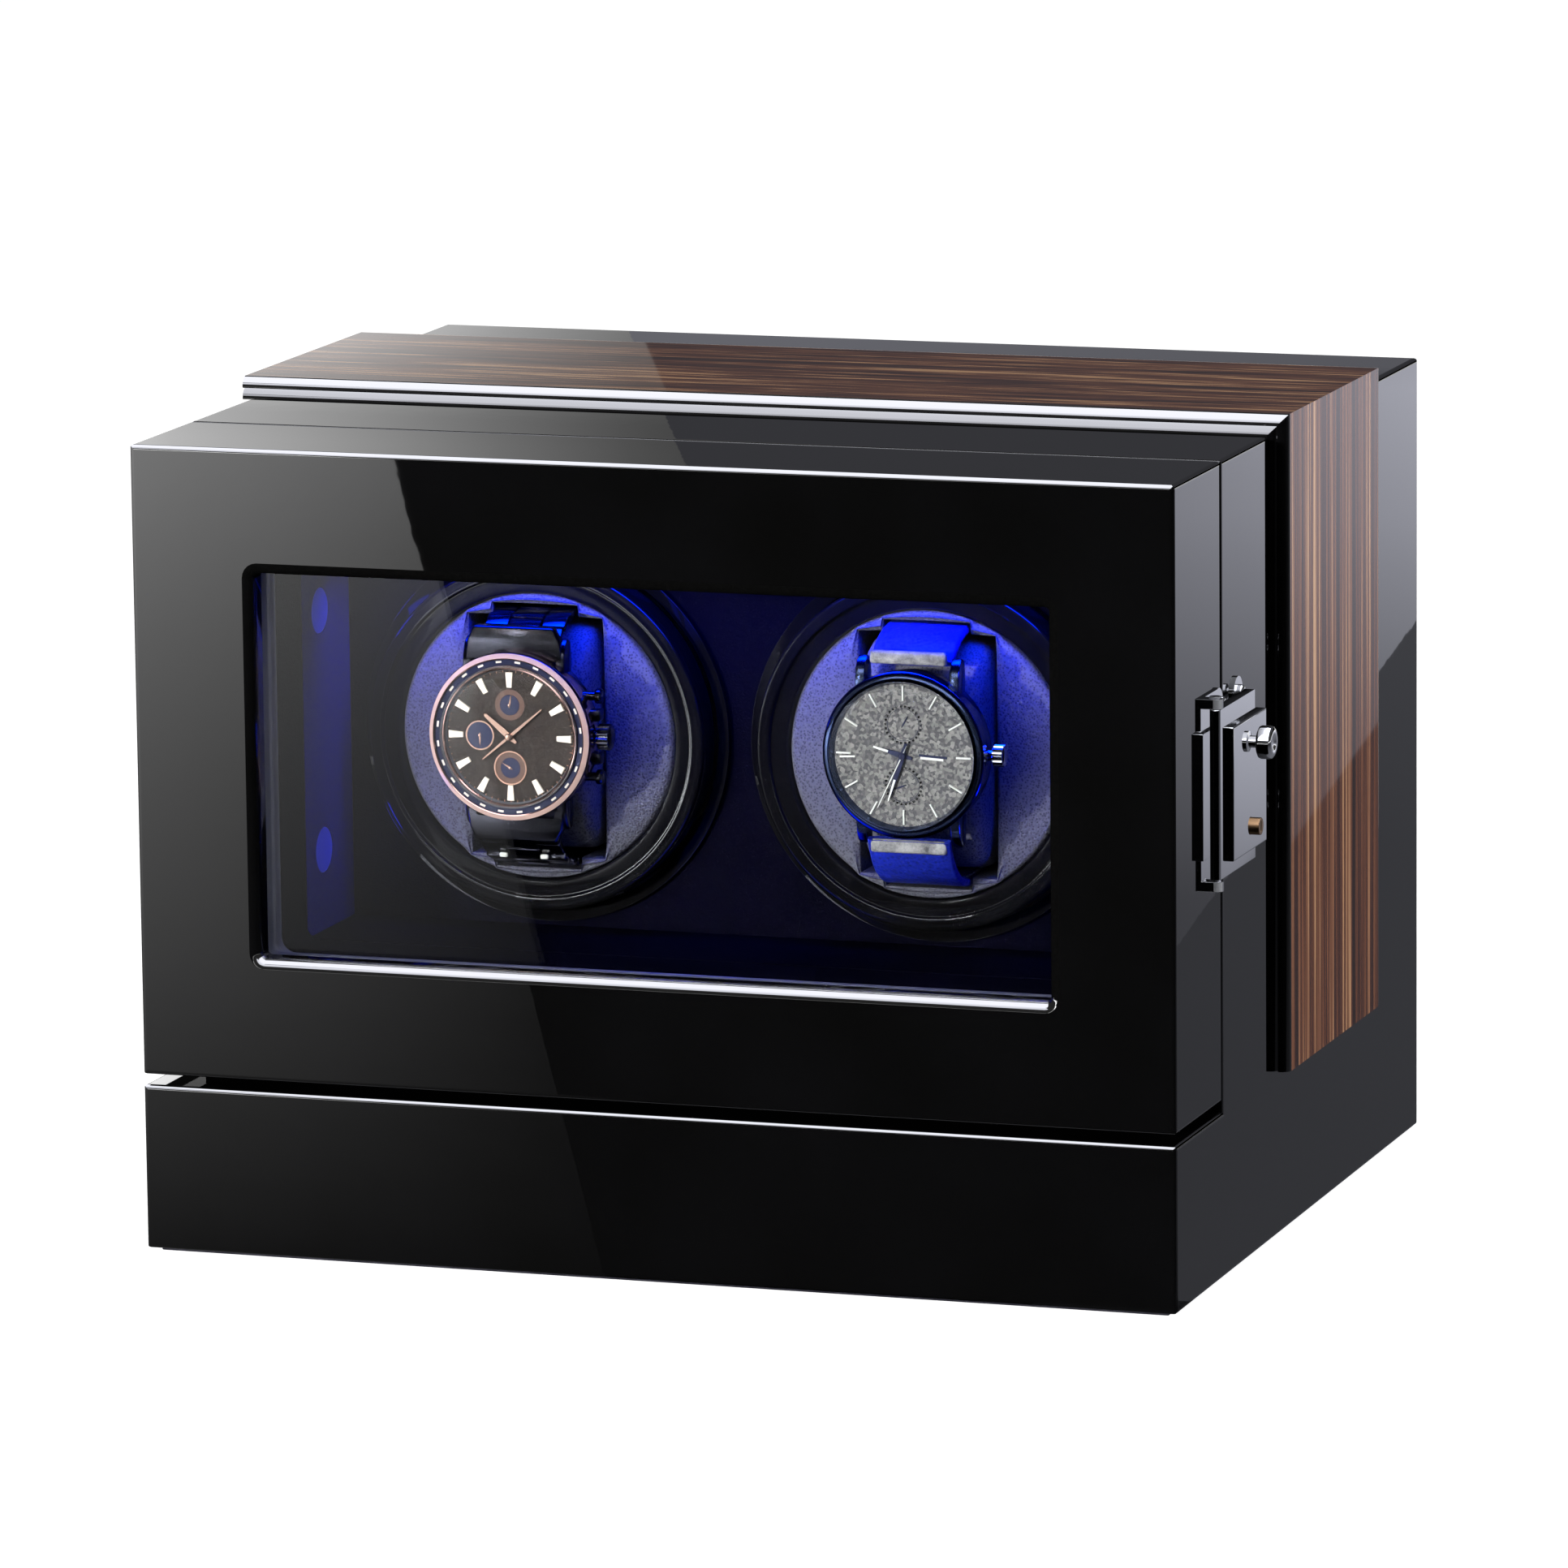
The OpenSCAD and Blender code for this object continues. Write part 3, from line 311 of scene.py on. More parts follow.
# copies round a circle in XY, each turned with the circle
ringTree, nodes = repeatTree(
    "roundTheDial", {"Count": "Int", "Radius": "Float", "Start": "Float"},
    {"circle": "GeometryNodeMeshCircle", "index": "GeometryNodeInputIndex", "share": "ShaderNodeMath",
     "turn": "ShaderNodeMath", "angle": "ShaderNodeCombineXYZ", "offset": "ShaderNodeCombineXYZ",
     "spin": "GeometryNodeTransform"},
    "give.Count>circle.Vertices give.Radius>circle.Radius circle.0>stamp.Points index.0>share.0 "
    "give.Count>share.1 share.0>turn.0 turn.0>angle.Z angle.0>stamp.Rotation give.Start>offset.Z "
    "stamp.0>spin.Geometry offset.0>spin.Rotation spin.0>real.0")
nodes["share"].operation, nodes["turn"].operation = "DIVIDE", "MULTIPLY"
nodes["turn"].inputs[1].default_value = 2 * math.pi

# copies along the piece's own line, turned about X to follow it
pathTree, nodes = repeatTree(
    "alongTheLine", {"Count": "Int"},
    {"curve": "GeometryNodeMeshToCurve", "points": "GeometryNodeCurveToPoints",
     "align": "FunctionNodeAlignRotationToVector"},
    "give.Geometry>curve.0 curve.0>points.0 give.Count>points.Count points.Tangent>align.Vector "
    "points.Points>stamp.Points align.0>stamp.Rotation stamp.0>real.0")
nodes["points"].mode = "COUNT"
nodes["align"].axis, nodes["align"].pivot_axis = "Y", "X"

# one copy on each point of the piece
spotTree, nodes = repeatTree("onEachSpot", {}, {}, "give.Geometry>stamp.Points stamp.0>real.0")


def grow(name, tree, base, part, finish, matrix=None, **values):
    # runs a tree on a base mesh and keeps the plain result, moved to its place
    obj = addObject(name, base or bpy.data.meshes.new(name))
    tool = obj.modifiers.new("repeat", "NODES")
    tool.node_group = tree
    values.update(Part=part, Material=finishes[finish])
    for item in tree.interface.items_tree:
        if item.item_type == "SOCKET" and item.in_out == "INPUT" and item.name in values:
            tool[item.identifier] = values[item.name]
    obj.update_tag()
    bpy.context.view_layer.update()
    bakeModifiers(obj)
    obj.data.transform(matrix or Matrix.Identity(4))
    bpy.data.objects.remove(part)
    return reshade(obj, 40)


def pointsMesh(points, linked=False):
    mesh = bpy.data.meshes.new("spots")
    lines = [(i, i + 1) for i in range(len(points) - 1)] if linked else []
    mesh.from_pydata([tuple(p) for p in points], lines, [])
    return mesh


def dialMatrix(mid, depth):
    # puts the XY plane on a dial that faces the door, with +Z out of it
    return Matrix.Translation((mid[0], frontY + depth * mm, mid[1])) @ Matrix.Rotation(math.pi / 2, 4, "X")


class Finish:
    def __init__(self, name, colour, rough, metal=0.0, **sockets):
        self.material = bpy.data.materials.new(name)
        self.material.use_nodes = True
        self.tree = self.material.node_tree
        self.shader = self.tree.nodes["Principled BSDF"]
        self.put("Base Color", (*colour, 1))
        self.put("Roughness", rough)
        self.put("Metallic", metal)
        for label, value in sockets.items():
            self.put(label.replace("_", " "), value)
        self.coords = self.tree.nodes.new("ShaderNodeTexCoord")

    def put(self, label, value):
        self.shader.inputs[label].default_value = value

    def node(self, kind, **values):
        made = self.tree.nodes.new(kind)
        for label, value in values.items():
            if hasattr(made, label):
                setattr(made, label, value)
            else:
                made.inputs[label.replace("_", " ")].default_value = value
        return made

    def link(self, a, b):
        self.tree.links.new(a, b)

    def spot(self, scale=(1, 1, 1)):
        mapping = self.node("ShaderNodeMapping", Scale=scale)
        self.link(self.coords.outputs["Object"], mapping.inputs["Vector"])
        return mapping.outputs[0]

    def noise(self, scale, detail=4, rough=0.55, stretch=(1, 1, 1), distort=0.0):
        made = self.node("ShaderNodeTexNoise", Scale=scale, Detail=detail, Roughness=rough,
                         Distortion=distort)
        self.link(self.spot(stretch), made.inputs["Vector"])
        return made.outputs["Fac"]

    def cells(self, scale, output="Distance"):
        made = self.node("ShaderNodeTexVoronoi", feature="F1", Scale=scale)
        self.link(self.spot(), made.inputs["Vector"])
        return made.outputs[output]

    def shades(self, source, *stops):
        # base colour from stops of (position, colour)
        made = self.node("ShaderNodeValToRGB")
        points = made.color_ramp.elements
        while len(points) < len(stops):
            points.new(0.5)
        for point, (spot, colour) in zip(points, stops):
            point.position, point.color = spot, (*colour, 1)
        self.link(source, made.inputs["Fac"])
        self.link(made.outputs["Color"], self.shader.inputs["Base Color"])

    def roughBy(self, source, low, high):
        spread = self.node("ShaderNodeMapRange", To_Min=low, To_Max=high)
        self.link(source, spread.inputs["Value"])
        self.link(spread.outputs["Result"], self.shader.inputs["Roughness"])

    def bump(self, source, strength, distance, after=None):
        made = self.node("ShaderNodeBump", Strength=strength, Distance=distance)
        self.link(source, made.inputs["Height"])
        if after:
            self.link(after.outputs["Normal"], made.inputs["Normal"])
        self.link(made.outputs["Normal"], self.shader.inputs["Normal"])
        return made


def tinted(colour, amount):
    return tuple(c * amount for c in colour)


blackTone = 0.0018  # all lacquer


def lacquer(name, ior=1.5):
    f = Finish(name, (blackTone, blackTone, blackTone * 1.1), 0.03, IOR=ior)
    f.shades(f.noise(18, 3), *blackShades)
    f.roughBy(f.noise(60, 5), 0.004, 0.014)
    f.bump(f.noise(140, 1), 0.012, 0.0002)
    return f.material


blackShades = ((0.3, (blackTone * 0.8,) * 3), (0.7, (blackTone * 1.2, blackTone * 1.2, blackTone * 1.35)))


def polish(name):
    # the same black without any ripple, for turned parts
    f = Finish(name, (blackTone,) * 3, 0.05, IOR=1.3)
    f.shades(f.noise(18, 3), *blackShades)
    return f.material


ebonyStripes = ((0.38, (0.018, 0.0055, 0.0035)), (0.445, (0.060, 0.017, 0.010)),
                (0.505, (0.140, 0.047, 0.021)), (0.56, (0.26, 0.105, 0.05)), (0.61, (0.68, 0.39, 0.20)))


def ebony(name, stretch, coat):
    # striped heartwood: long streaks along one axis under a clear gloss coat
    f = Finish(name, (0.16, 0.05, 0.02), 0.5, Specular_IOR_Level=0.0, Coat_Weight=coat, Coat_Roughness=0.02,
               Coat_IOR=1.5)
    broad = f.noise(1.0, 2, 0.5, [s * 0.9 for s in stretch], 0.12)
    fine = f.noise(1.0, 3, 0.6, [s * 4.2 for s in stretch], 0.08)
    mixed = f.node("ShaderNodeMath", operation="MULTIPLY_ADD")
    mixed.inputs[1].default_value = 0.56
    f.link(fine, mixed.inputs[0])
    half = f.node("ShaderNodeMath", operation="MULTIPLY")
    half.inputs[1].default_value = 0.44
    f.link(broad, half.inputs[0])
    f.link(half.outputs[0], mixed.inputs[2])
    f.shades(mixed.outputs[0], *ebonyStripes)
    f.bump(mixed.outputs[0], 0.05, 0.0001)
    return f.material


def velvet(name, dark, light, scale=900):
    f = Finish(name, dark, 0.95, Specular_IOR_Level=0.0)
    f.shades(f.noise(scale, 6, 0.7), (0.3, dark), (0.7, light))
    f.bump(f.noise(scale * 1.6, 4, 0.7), 0.5, 0.0004)
    return f.material


def leather(name, dark, light, grain=1500, rough=0.48, shine=0.012):
    f = Finish(name, light, rough, Specular_IOR_Level=shine)
    pores = f.cells(grain)
    f.shades(pores, (0.05, dark), (0.55, light))
    f.roughBy(f.noise(90, 3), rough - 0.08, rough + 0.1)
    first = f.bump(pores, 0.55, 0.00022)
    f.bump(f.noise(260, 5), 0.3, 0.0003, first)
    return f.material


def metal(name, colour, rough, brush=(1, 1, 1), scale=120, depth=0.04):
    f = Finish(name, colour, rough, 1.0)
    streaks = f.noise(scale, 5, 0.6, brush)
    f.roughBy(streaks, max(0.02, rough * 0.75), rough * 1.35)
    f.shades(f.noise(scale * 0.25, 2), (0.3, tinted(colour, 0.93)), (0.7, colour))
    f.bump(streaks, depth, 0.00005)
    return f.material


def moulded(name, colour, rough=0.45, scale=900, depth=0.15):
    f = Finish(name, colour, rough, Specular_IOR_Level=0.25)
    f.shades(f.noise(40, 3), (0.3, tinted(colour, 0.85)), (0.7, tinted(colour, 1.1)))
    f.roughBy(f.noise(scale * 0.2, 4), rough * 0.85, rough * 1.15)
    f.bump(f.noise(scale, 3), depth, 0.0001)
    return f.material


def clear(name, tint, ior):
    f = Finish(name, tint, 0.0, Transmission_Weight=1.0, IOR=ior)
    f.bump(f.noise(30, 1), 0.004, 0.0001)
    return f.material


def glowing(name, colour, strength, edge):
    f = Finish(name, edge, 0.35, Emission_Strength=strength, Emission_Color=(*colour, 1))
    f.shades(f.noise(300, 2), (0.3, edge), (0.7, tinted(edge, 1.1)))
    return f.material


def sparkle(name, dark, light, grain=1300):
    # fine glitter on a dial, one even tone per grain
    f = Finish(name, light, 0.5, Specular_IOR_Level=0.08)
    f.shades(f.cells(grain, "Color"), (0.3, dark), (0.85, light))
    f.bump(f.cells(grain), 0.4, 0.0002)
    return f.material


def board(name, colour):
    f = Finish(name, colour, 0.35, Coat_Weight=0.3, Coat_Roughness=0.2)
    f.shades(f.noise(240, 2, 0.5), (0.48, colour), (0.52, tinted(colour, 1.6)))
    return f.material


finishes = {
    "lacquer": lacquer("blackLacquer"), "band_black": lacquer("blackBandLayer"),
    # the lacquers with a raised IOR reflect more than the rest: painted highlights on up-facing edges and on
    # the drum rings' crest
    "coreBlack": lacquer("blackCoreLayer", 1.39), "edgeGloss": lacquer("edgeGloss", 3.2),
    "coreEdge": lacquer("coreEdge", 2.4), "ringEdge": lacquer("ringEdge", 2.3),
    "gloss_black": lacquer("blackGlossTrim"), "ringGloss": polish("ringGloss"),
    "veneerTop": ebony("ebonyAcross", (7.0, 190, 190), 0.9),
    "veneerSide": ebony("ebonyUpright", (52, 130, 1.1), 0.66),
    "felt": velvet("baseFelt", (0.01, 0.01, 0.014), (0.03, 0.03, 0.04), 500),
    # the side walls' blue is painted lamp light
    "wallVelvet": velvet("wallVelvet", (0.001, 0.0015, 0.045), (0.002, 0.003, 0.11)),
    "velvet": velvet("nightVelvet", (0.0004, 0.0004, 0.0012), (0.0012, 0.0012, 0.0032)),
    # patchy grey: painted highlights and shade of crumpled strap ends
    "strapEnd": velvet("strapEnd", (0.04, 0.04, 0.045), (0.24, 0.24, 0.24), 260),
    # a matte black that takes reflections off: painted shade
    "dullBlack": velvet("dullBlack", (0.0013,) * 3, (0.0022,) * 3),
    "bead_metal": moulded("satinBead", (0.085, 0.087, 0.095), 0.5),
    "plate": moulded("darkPlate", (0.045, 0.047, 0.055)),
    "cup": moulded("cupBlack", (0.02, 0.02, 0.024), 0.35),
    "belt": moulded("beltRubber", (0.015, 0.015, 0.016), 0.6),
    "panel": moulded("rearPanelBlack", (0.018, 0.018, 0.02), 0.5, 1400, 0.4),
    "jack": moulded("jackBlack", (0.02, 0.02, 0.022), 0.35),
    # a light grey that stands in for chrome reflections: painted highlight
    "satinChrome": moulded("satinChrome", (0.36, 0.37, 0.40), 0.4),
    "pulley": moulded("acetal", (0.7, 0.68, 0.62), 0.4),
    "knob_black": moulded("knobBlack", (0.02, 0.02, 0.022), 0.35),
    "button_grey": moulded("buttonGrey", (0.5, 0.5, 0.52), 0.3),
    "ivory": moulded("ivoryMark", (0.48, 0.43, 0.36), 0.35),
    # light rose satin standing in for polished reflections: painted highlight
    "roseSatin": moulded("roseSatin", (0.33, 0.225, 0.195), 0.3),
    "paleMark": moulded("paleMark", (0.36, 0.37, 0.34), 0.3),
    "brownPlate": moulded("brownPlate", (0.055, 0.030, 0.022), 0.3),
    "darkHand": moulded("darkHand", (0.01, 0.012, 0.03), 0.25),
    "thread": moulded("strapThread", (0.10, 0.12, 0.25), 0.7),
    "bronze": metal("bushBronze", (0.55, 0.36, 0.18), 0.35),
    "motor": metal("motorCan", (0.6, 0.61, 0.63), 0.28, (1, 12, 12), 90),
    "screw_steel": metal("zincSteel", (0.62, 0.63, 0.66), 0.22),
    "hinge_brass": metal("hingeBrass", (0.72, 0.53, 0.24), 0.14),
    "chrome": metal("chrome", (0.82, 0.83, 0.85), 0.07, (1, 1, 1), 60, 0.01),
    "key_brass": metal("keyBrass", (0.42, 0.26, 0.14), 0.3),
    "shaft_steel": metal("groundSteel", (0.7, 0.7, 0.72), 0.2, (30, 1, 30)),
    "rose_metal": metal("roseSteel", (0.62, 0.40, 0.34), 0.12),
    "blue_metal": metal("blueSteel", (0.085, 0.115, 0.22), 0.16),
    "bracelet_metal": metal("darkSteel", (0.055, 0.055, 0.068), 0.16),
    "roseHand": metal("roseHand", (0.85, 0.55, 0.42), 0.15),
    "led": glowing("blueLamp", (0.02, 0.05, 1.0), 0.12, (0.02, 0.03, 0.2)),
    "board": board("boardGreen", (0.012, 0.09, 0.045)),
    "glass": clear("paneGlass", (0.96, 0.98, 1.0), 1.27),
    "crystal": clear("watchCrystal", (0.98, 0.99, 1.0), 1.22),
    "pad_leather": leather("padLeather", (0.018, 0.018, 0.024), (0.062, 0.063, 0.078)),
    "strap_leather": leather("strapLeather", (0.002, 0.004, 0.05), (0.005, 0.010, 0.15), 900, 0.35, 0.12),
    "dial_dark": sparkle("sunDial", (0.010, 0.0075, 0.0065), (0.018, 0.0135, 0.011)),
    "dial_grey": sparkle("glitterDial", (0.034, 0.034, 0.036), (0.108, 0.105, 0.098)),
}
print("materials:", len(finishes))

for name, obj in frame["nodes"].items():  # every node gets its finish; most are replaced later
    key = {"veneer_top": "veneerTop", "veneer_side": "veneerSide"}.get(name, slotOf[name])
    obj.data.materials.clear()
    obj.data.materials.append(finishes[key])


def blockNormals(name, blocks, r):
    # shading of rounded blocks worked out from the blocks themselves
    mesh = bpy.data.objects[name].data
    mesh.materials.append(finishes["edgeGloss"])  # upper edges carry a stronger-reflecting copy of the lacquer, a painted highlight
    normals = [corner.vector.copy() for corner in mesh.corner_normals]
    for poly in mesh.polygons:
        still = [abs(c) < 2e-3 for c in poly.normal]
        if sum(still) == 2:
            for i in poly.loop_indices:
                normals[i] = poly.normal.copy()
        if sum(still) != 1:
            continue
        for low, high in blocks:
            def reach(co):
                return Vector([0 if still[k] else co[k] - min(max(co[k], low[k] + r), high[k] - r)
                               for k in range(3)])
            if abs(reach(poly.center).length - r) > 0.1 * r:
                continue
            poly.material_index = 1 if poly.normal.z > 0.05 else 0
            for i in poly.loop_indices:
                out = reach(mesh.vertices[mesh.loops[i].vertex_index].co)
                if out.length > 0.5 * r:
                    normals[i] = out.normalized()
            break
    mesh.normals_split_custom_set([tuple(n) for n in normals])


def dressNode(node, name, bevel):
    # a welded copy of a node with even shading and, where asked, softened edges
    bm = bmesh.new()
    bm.from_mesh(frame["nodes"][node].data)
    bmesh.ops.remove_doubles(bm, verts=bm.verts, dist=weld)
    bmesh.ops.dissolve_limit(bm, angle_limit=math.radians(0.4), verts=bm.verts, edges=bm.edges)
    obj = addMesh(name, bm, slotOf[node], fix=False)
    if bevel:
        edgeBevel(obj, bevel)
    return settle(evenNormals(obj), node)


# node: new name, edge softening in mm
plainPieces = {
    "cabinet_shell": ("cabinetShell", 0), "base_felt": ("baseFelt", 0.25), "door_frame": ("doorFrame", 0),
    "bay_liner": ("bayLiner", 0), "fascia": ("fasciaBoard", 0), "fascia_trims": ("drumCollars", 0.15),
    "led_lamps": ("bayLamps", 0.3), "mechanism_plate": ("mechanismPlate", 0.3),
    "shaft_bushings": ("shaftBushings", 0.2), "motor_left": ("motorLeft", 0.3),
    "motor_right": ("motorRight", 0.3),
    "belt_left": ("beltLeft", 0.15), "belt_right": ("beltRight", 0.15), "rear_panel": ("rearPanel", 0.25),
    "control_board": ("controlBoard", 0.1), "dc_jack": ("dcJack", 0.2),
    "cabinet_hinge_leaves": ("cabinetHingeLeaves", 0.15), "door_hinge_leaves": ("doorHingeLeaves", 0.15),
    "hinge_pins": ("hingePins", 0.2), "latch_plate_cabinet": ("cabinetLockPlate", 0.3),
    "latch_plate_door": ("doorLockPlate", 0.3), "hasp_pin": ("haspPin", 0.15),
    "hasp_lever": ("haspLever", 0.3),
    "lock_case": ("lockCase", 0.2), "latch_bolt": ("lockBolt", 0.2), "lock_cylinder": ("keyCylinder", 0.15),
    "door_lining": ("doorLining", 0.2), "drum_cup_left": ("drumCupLeft", 0.3),
    "drum_cup_right": ("drumCupRight", 0.3),
    "drum_shaft_left": ("drumShaftLeft", 0.2), "drum_shaft_right": ("drumShaftRight", 0.2),
    "motor_pulley_left": ("motorPulleyLeft", 0.2), "motor_pulley_right": ("motorPulleyRight", 0.2),
    "light_button": ("lightButton", 0.4),
}
for node, (name, bevel) in plainPieces.items():
    dressNode(node, name, bevel)
print("welded pieces:", len(plainPieces))

body = {"edge": 1.2, "seam": 41.7, "plinthTop": 44}
low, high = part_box("cabinet_shell")
blockNormals("doorFrame", [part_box("door_frame")], body["edge"] * mm)
blockNormals("cabinetShell", [((low.x, frontY + body["seam"] * mm, low.z), high),
             (low, (high.x, high.y, body["plinthTop"] * mm))], body["edge"] * mm)

# the bay's side walls carry a painted blue glow of the lamps, deeper than its floor
markFaces(bpy.data.objects["bayLiner"], "wallVelvet", lambda face: abs(face.normal.x) > 0.8)

# the door's side mirrors the studio, not the lock; the lock's short front ends are light grey satin, a painted
# highlight in place of chrome reflections
lockMid, lockEnd = middle("latch_bolt", 2)[0], 21.8 * mm
for node, (name, bevel) in plainPieces.items():
    if node.startswith(("latch", "hasp", "lock")):
        bpy.data.objects[name].visible_glossy = False
        markFaces(bpy.data.objects[name], "satinChrome",
                  lambda face: abs(face.center.z - lockMid) > lockEnd and face.normal.y < -0.3)

# the pane stays a plain clear block and lets the lights through
frame["nodes"]["window_pane"].visible_shadow = False


# wood band: a black layer and a veneer layer, rounded along the front and rear edges
band = {"thick": 3.0, "round": 2.6, "heels": (0.03, 0.3), "steps": 8, "left": -139.2, "low": 46.3,
        "base": (138.0, 210.0)}


def bandPiece(name, node, layer, stations, finish):
    d0, d1 = depths(node)
    thick, r, heel = band["thick"], band["round"], band["heels"][layer]
    section = [(d0 + heel, 0), (d0, heel)]
    section += [(d0 + r - r * math.cos(a), thick - r + r * math.sin(a)) for a in quarter(band["steps"])]
    section += [(d0 + d1 - d, o) for d, o in reversed(section)]
    x0, z0 = (start + layer * thick for start in band["base"])
    spots = {"left": lambda d, o: at(band["left"], d, z0 + o), "corner": lambda d, o: at(x0 + o, d, z0 + o),
             "low": lambda d, o: at(x0 + o, d, band["low"])}
    bm = bmesh.new()
    skin(bm, [[bm.verts.new(spots[s](d, o)) for d, o in section] for s in stations])
    obj = addMesh(name, bm, finish)
    count = len(section)
    for edge in obj.data.edges:  # the mitre between the top and the side stays crisp
        edge.use_edge_sharp |= len(stations) > 2 and all(count <= v < 2 * count for v in edge.vertices)
    near, far = frontY + (d0 + r * 0.96) * mm, frontY + (d1 - r * 0.96) * mm
    # the veneer's edges are lacquered black
    markFaces(obj, "band_black" if layer else "coreBlack", lambda face: not near < face.center.y < far)
    # the up-facing edge faces take a stronger-reflecting lacquer, a painted highlight
    markFaces(obj, "edgeGloss" if layer else "coreEdge",
              lambda face: not near < face.center.y < far and face.normal.z > 0.05)
    settle(evenNormals(obj), node).visible_glossy = False


bandPiece("bandBlackLayer", "band_core", 0, ("left", "corner", "low"), "coreBlack")
bandPiece("bandVeneerTop", "veneer_top", 1, ("left", "corner"), "veneerTop")
bandPiece("bandVeneerSide", "veneer_side", 1, ("corner", "low"), "veneerSide")
print("band made")


# window: a rounded lip on the door and the stepped bead that holds the pane
window = {"radius": 4.0, "lip": 2.9, "depth": 6.0, "steps": 8, "corner": 8, "cover": 2.7}
beadLine = [(-2.7, 0), (1.1, 0), (1.5, 0.4), (1.5, 2.0), (0.5, 2.8), (0.1, 4.2), (0.1, 7.4), (0.6, 8.0),
            (0.9, 9.0), (0.6, 10.0), (0.1, 10.6)]
low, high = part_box("pane_retainer")
winLow = [low[k] / mm + window["cover"] for k in (0, 2)]
winHigh = [high[k] / mm - window["cover"] for k in (0, 2)]


def frameSweep(name, section, finish, sharp=30):
    # a closed section of (inward offset, depth) swept round the window's opening
    bm = bmesh.new()
    rings = []
    for offset, depth in section:
        r = max(window["radius"] - offset, 0.4)
        x0, z0 = (edge + offset + r for edge in winLow)
        x1, z1 = (edge - offset - r for edge in winHigh)
        ring = []
        for cx, cz, start in ((x1, z1, 0), (x0, z1, 90), (x0, z0, 180), (x1, z0, 270)):
            for i in range(window["corner"] + 1):
                a = math.radians(start + 90 * i / window["corner"])
                ring.append(bm.verts.new(at(cx + r * math.cos(a), depth, cz + r * math.sin(a))))
        rings.append(ring)
    skin(bm, rings, ends=False, closed=True)
    return evenNormals(addMesh(name, bm, finish, sharp))


r, back = window["lip"], window["depth"] - 0.05
lipSection = [(-0.3, 0.6), (-0.02, 0.0)]
lipSection += [(r * math.sin(a), r * (1 - math.cos(a))) for a in quarter(window["steps"], 1)]
lipSection += [(r, back), (-0.3, back)]
lip = extra(frameSweep("windowLip", lipSection, "lacquer"), "door_frame")
# the lip's right and top faces are matte black with no reflection, painted shade
markFaces(lip, "dullBlack", lambda face: face.center.x > 0.1 or face.center.z > 0.17)
# the bottom lip's up-facing faces take the stronger-reflecting lacquer, a painted highlight
markFaces(lip, "edgeGloss", lambda face: face.normal.z > 0.05 and face.center.z < 0.09)
front, back = depths("pane_retainer")
beadSection = [(o, front + d) for o, d in beadLine] + [(0.0, back - 0.5), (-0.5, back), (-2.7, back)]
settle(frameSweep("paneBead", beadSection, "bead_metal", 50), "pane_retainer")
print("window made")


# drums: a turned front ring and a padded leather insert with a pocket
drum = {"ringInner": 37.6, "ringWidth": 8.4, "ringDepth": 9.0, "bright": 42.3, "pad": 37.4, "padEdge": 2.6,
        "pocketEdge": 1.4, "crown": 0.7, "floor": 33.9, "pocket": (18.3, 31.5), "notch": (11.6, 34.6),
        "rows": 5}
ringLine = [(0, 0.42), (0.02, 0.24), (0.05, 0.15), (0.1, 0.125), (0.3, 0.12), (0.5, 0.12), (0.53, 0.11),
            (0.555, 0.06), (0.575, 0.015), (0.6, 0.0), (0.75, 0), (0.88, 0.0), (0.93, 0.02), (0.965, 0.07),
            (0.99, 0.18), (1, 0.40)]


def smoothLine(points, steps=4):
    out = []
    for i in range(len(points) - 1):
        p0, p1, p2, p3 = (points[min(max(k, 0), len(points) - 1)] for k in (i - 1, i, i + 1, i + 2))
        for k in range(steps):
            t = k / steps
            out.append(tuple(0.5 * (2 * b + (c - a) * t + (2 * a - 5 * b + 4 * c - d) * t * t
                             + (3 * b - a - 3 * c + d) * t ** 3) for a, b, c, d in zip(p0, p1, p2, p3)))
    return out + [points[-1]]


def drumRing(side):
    r, w, depth = (drum[k] for k in ("ringInner", "ringWidth", "ringDepth"))
    profile = [(r, 5)] + [(r + a * w, b * depth) for a, b in smoothLine(ringLine)]
    profile += [(r + w, depth), (r + 3.02, depth), (r + 3.02, 5)]
    x, z = drumMid[side]
    obj = turned("drumRing" + side.capitalize(), profile, (x, z), "ringGloss", 192, 40, base=crestDepth)

    def onCrest(face):
        out = math.hypot(face.center.x - x, face.center.z - z) / mm
        return abs(out - drum["bright"]) < 0.5 and face.center.y < frontY + (crestDepth + 2) * mm

    # the crest line takes a stronger-reflecting lacquer, a painted highlight line
    markFaces(obj, "ringEdge", onCrest)
    settle(obj, "drum_ring_" + side)


def pocketReach(angle):
    # distance from the drum's middle to the pocket's wall
    c, s = abs(math.cos(angle)), abs(math.sin(angle))
    return max(min(w / max(c, 1e-6), h / max(s, 1e-6)) for w, h in (drum["pocket"], drum["notch"]))


